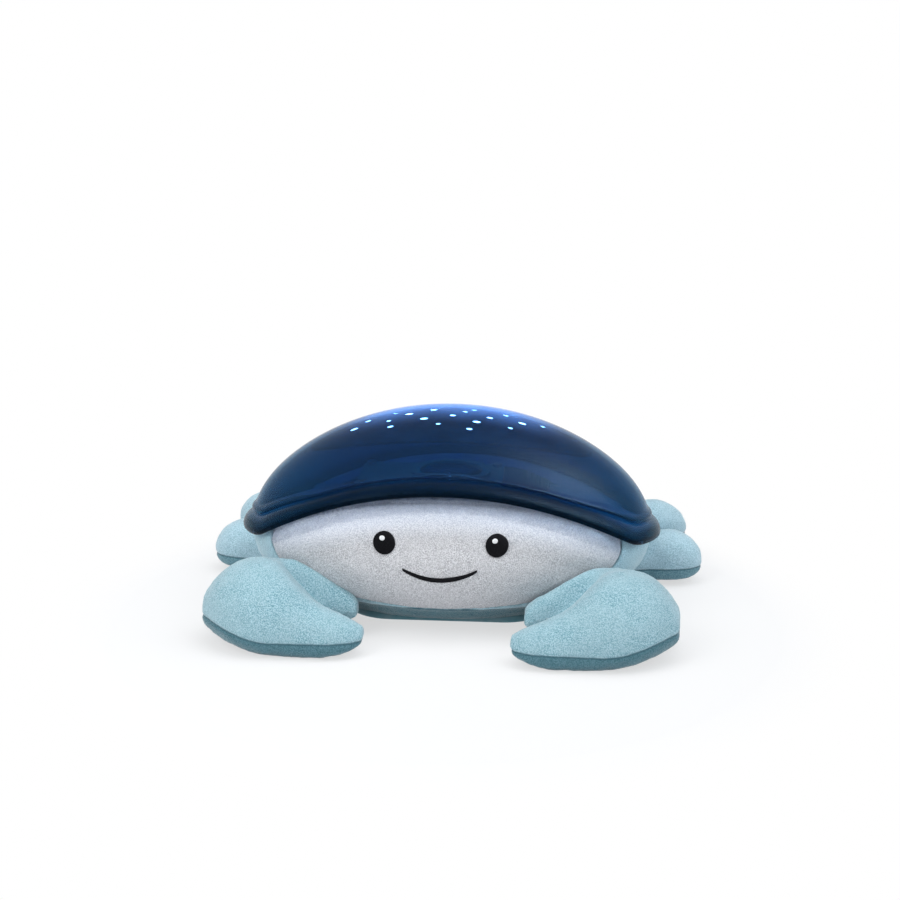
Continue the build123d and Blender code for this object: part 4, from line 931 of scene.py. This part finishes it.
def makePiping():
    v = pipingValues
    low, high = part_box("control_pod")
    centreX, centreZ = (low.x + high.x) / 2, (low.z + high.z) / 2
    loop = (high.x - low.x) / 2 + v["grow"], (high.z - low.z) / 2 + v["grow"], v["corner"]
    bpy.ops.object.select_all(action="DESELECT")
    bpy.ops.mesh.primitive_torus_add(major_segments=v["around"], minor_segments=v["across"], major_radius=1,
                                     minor_radius=v["ringRadius"])
    piping = startPiece("pod_piping")
    ring = readPoints(piping)
    share = np.arctan2(ring[:, 1], ring[:, 0]) / (2 * np.pi)
    outward = (np.hypot(ring[:, 0], ring[:, 1]) - 1) / v["ringRadius"] * v["radius"]
    above = ring[:, 2] / v["ringRadius"] * v["radius"]
    x, z = roundedLoop(share, *loop)
    aheadX, aheadZ = roundedLoop(share + v["ahead"], *loop)
    length = np.hypot(aheadX - x, aheadZ - z)
    x, z = x + (aheadZ - z) / length * outward, z - (aheadX - x) / length * outward
    x, z = x + centreX, z + centreZ
    writePoints(piping, np.stack((x, bodyBack(x, z) + v["proud"] + above, z), 1))
    cleanMesh(piping)
    roughen(piping, fineNap, v["nap"])
    smoothShade(piping)
    dress(piping, plushBody)
    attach(piping, "crab")


makePiping()

markValues = {"size": 2.7 * mm, "halfBar": 0.17, "thickness": 0.35 * mm, "sink": 0.1 * mm, "edge": 0.1 * mm,
              "edgeSegments": 2}  # the bar is a share of the size
markInk = mouldedFinish("markInk", (0.86, 0.93, 0.95), 0.5)


def arcPoints(centre, radius, start, end, count):
    turns = [math.radians(start + (end - start) * k / (count - 1)) for k in range(count)]
    return [(centre[0] + radius * math.cos(turn), centre[1] + radius * math.sin(turn)) for turn in turns]


def plusPoints(bar):
    return [(bar, bar), (bar, 1), (-bar, 1), (-bar, bar), (-1, bar), (-1, -bar), (-bar, -bar), (-bar, -1),
            (bar, -1), (bar, -bar), (1, -bar), (1, bar)]


def minusPoints(bar):
    return [(1, bar), (-1, bar), (-1, -bar), (1, -bar)]


markOutlines = {
    "volume_up": plusPoints(markValues["halfBar"]),
    "volume_down": minusPoints(markValues["halfBar"]),
    "sound": [(0.1, 1.05), (-0.12, 1.05), (-0.12, -0.28)] + arcPoints((-0.45, -0.62), 0.46, 55, 330, 16)
             + [(0.1, -0.6), (0.1, 0.45), (0.62, 0.1), (0.72, -0.25), (0.9, 0.1), (0.72, 0.5)],
    "lamp": arcPoints((0, 0.28), 0.74, -55, 235, 24)
            + [(-0.36, -0.75), (-0.2, -1.05), (0.2, -1.05), (0.36, -0.75)],
}


def makeMark(button):
    v = markValues
    low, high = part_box(f"{button}_button")
    outline = np.array(markOutlines[button]) * v["size"]
    bpy.ops.object.select_all(action="DESELECT")
    bpy.ops.mesh.primitive_circle_add(vertices=len(outline), radius=1, fill_type="NGON")
    mark = startPiece(f"{button}_mark")
    points = np.empty((len(outline), 3))
    points[:, 0] = (low.x + high.x) / 2 - outline[:, 0]  # read from behind
    points[:, 1] = high.y - v["sink"]
    points[:, 2] = (low.z + high.z) / 2 + outline[:, 1]
    writePoints(mark, points)
    bpy.ops.object.mode_set(mode="EDIT")
    bpy.ops.mesh.select_all(action="SELECT")
    bpy.ops.mesh.extrude_region_move(TRANSFORM_OT_translate={"value": (0, v["thickness"], 0)})
    bpy.ops.object.mode_set(mode="OBJECT")
    cleanMesh(mark)
    addModifier(mark, "BEVEL", width=v["edge"], segments=v["edgeSegments"], limit_method="ANGLE")
    dress(mark, markInk)
    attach(mark, f"{button}_button")


for button in markOutlines:
    makeMark(button)
print("piping and button marks made")


# floor, lights and camera

stageValues = {"size": 6.0, "z": -0.2 * mm, "floorColour": (0.82, 0.82, 0.83), "roughness": 0.9, "specular": 0.1,
               "whiteFrom": 0.12, "whiteTo": 0.22, "whiteForward": 0.03, "paleShadow": 0.62,
               "near": (2 * mm, 4 * mm)}


def seenDirectly(finish):
    seen = finish.node("ShaderNodeLightPath", out="Is Camera Ray")
    for name in ("Is Glossy Ray", "Is Transmission Ray"):
        seen = seen.math("MAXIMUM", finish.node("ShaderNodeLightPath", out=name))
    return seen


def makeFloor():
    s = stageValues
    bpy.ops.object.select_all(action="DESELECT")
    bpy.ops.mesh.primitive_plane_add(size=s["size"], location=(0, 0, s["z"]))
    floor = startPiece("floor")
    finish = Finish("floorWhite", Base_Color=s["floorColour"], Roughness=s["roughness"],
                    Specular_IOR_Level=s["specular"])
    x, y, _ = finish.axes()
    forward = y + s["whiteForward"]
    away = (x * x + forward * forward).math("SQRT").between(s["whiteFrom"], s["whiteTo"])
    away = away.math("MAXIMUM", s["paleShadow"])
    white = finish.node("ShaderNodeEmission", None, {"Color": (1, 1, 1), "Strength": 1.0})
    lit = Wire(finish, finish.shader.outputs[0])
    mixed = finish.node("ShaderNodeMixShader", None, {0: away * seenDirectly(finish), 1: lit, 2: white})
    near = 1 - finish.node("ShaderNodeLightPath", out="Ray Length").between(*s["near"])
    below = finish.node("ShaderNodeNewGeometry", out="Backfacing").math("MAXIMUM", near)  # the soles stay lit
    clear = finish.node("ShaderNodeBsdfTransparent")
    mixed = finish.node("ShaderNodeMixShader", None, {0: below, 1: mixed, 2: clear})
    finish.tree.links.new(mixed.socket, finish.tree.nodes["Material Output"].inputs["Surface"])
    dress(floor, finish)


worldValues = {"colour": (0.90, 0.95, 1.0), "strength": 0.34, "lobe": (0.62, -0.05, 0.78), "lobeTightness": 14.0,
               "lobeLight": 2.6, "lobeGloss": 26.0}  # the lobe is a soft box up on the right


class World(Finish):
    def __init__(self, name):
        self.world = bpy.data.worlds.new(name)
        self.world.use_nodes = True
        self.tree = self.world.node_tree
        self.shader = self.tree.nodes["Background"]


def makeWorld():
    w = worldValues
    finish = World("studio")
    scene.world = finish.world
    toLobe = {0: finish.node("ShaderNodeTexCoord", out="Generated"), 1: Vector(w["lobe"]).normalized()}
    facing = finish.node("ShaderNodeVectorMath", {"operation": "DOT_PRODUCT"}, toLobe, "Value")
    lobe = facing.math("MAXIMUM", 0.0) ** w["lobeTightness"]
    finish.put("Color", w["colour"])
    finish.put("Strength", lobe * w["lobeLight"] + w["strength"])
    glossy = finish.node("ShaderNodeLightPath", out="Is Glossy Ray")
    white = finish.node("ShaderNodeBackground", None,
                        {"Color": (1, 1, 1), "Strength": lobe * glossy * w["lobeGloss"] + 1})
    mixed = finish.node("ShaderNodeMixShader", None,
                        {0: seenDirectly(finish), 1: Wire(finish, finish.shader.outputs[0]), 2: white})
    finish.tree.links.new(mixed.socket, finish.tree.nodes["World Output"].inputs["Surface"])


lampValues = {
    "keyLamp": {"place": (-0.72, -0.66, 1.0), "aim": (0, 0, 0.03), "size": 0.7, "power": 6.4},
    "frontLamp": {"place": (-0.45, -1.2, 0.5), "aim": (0, 0, 0.05), "size": 0.7, "power": 2.0},
    "fillLamp": {"place": (0.9, -0.6, 0.6), "aim": (0, 0, 0.03), "size": 0.9, "power": 0.6},
    "topLamp": {"place": (0.05, -0.05, 1.2), "aim": (0, 0, 0.03), "size": 0.9, "power": 5.6},
}


def addLamp(name, values):
    bpy.ops.object.light_add(type="AREA", location=values["place"])
    lamp = bpy.context.object
    lamp.name = name
    lamp.data.size = values["size"]
    lamp.data.energy = values["power"]
    lamp.visible_glossy = False
    lamp.rotation_euler = (Vector(values["aim"]) - Vector(values["place"])).to_track_quat("-Z", "Y").to_euler()


cameraValues = {"azimuth": 4.8, "elevation": 19.0, "distance": 1.037, "lens": 76.6, "sensor": 36,
                "target": (0.0, -21.8 * mm, 32.2 * mm), "shiftX": 0.0026, "shiftY": 0.117, "clipStart": 0.01}


def makeCamera():
    c = cameraValues
    turn, tilt = math.radians(c["azimuth"]), math.radians(c["elevation"])
    aim = Vector(c["target"]) + Vector((0, lampY, 0))
    back = Vector((math.sin(turn) * math.cos(tilt), -math.cos(turn) * math.cos(tilt), math.sin(tilt)))
    bpy.ops.object.camera_add(location=aim + back * c["distance"])
    camera = bpy.context.object
    camera.rotation_euler = (-back).to_track_quat("-Z", "Y").to_euler()
    camera.data.lens = c["lens"]
    camera.data.sensor_width = c["sensor"]
    camera.data.shift_x = c["shiftX"]
    camera.data.shift_y = c["shiftY"]
    camera.data.clip_start = c["clipStart"]
    scene.camera = camera


makeFloor()
makeWorld()
for lampName, values in lampValues.items():
    addLamp(lampName, values)
makeCamera()
scene.view_settings.view_transform = "Standard"
print("stage made")
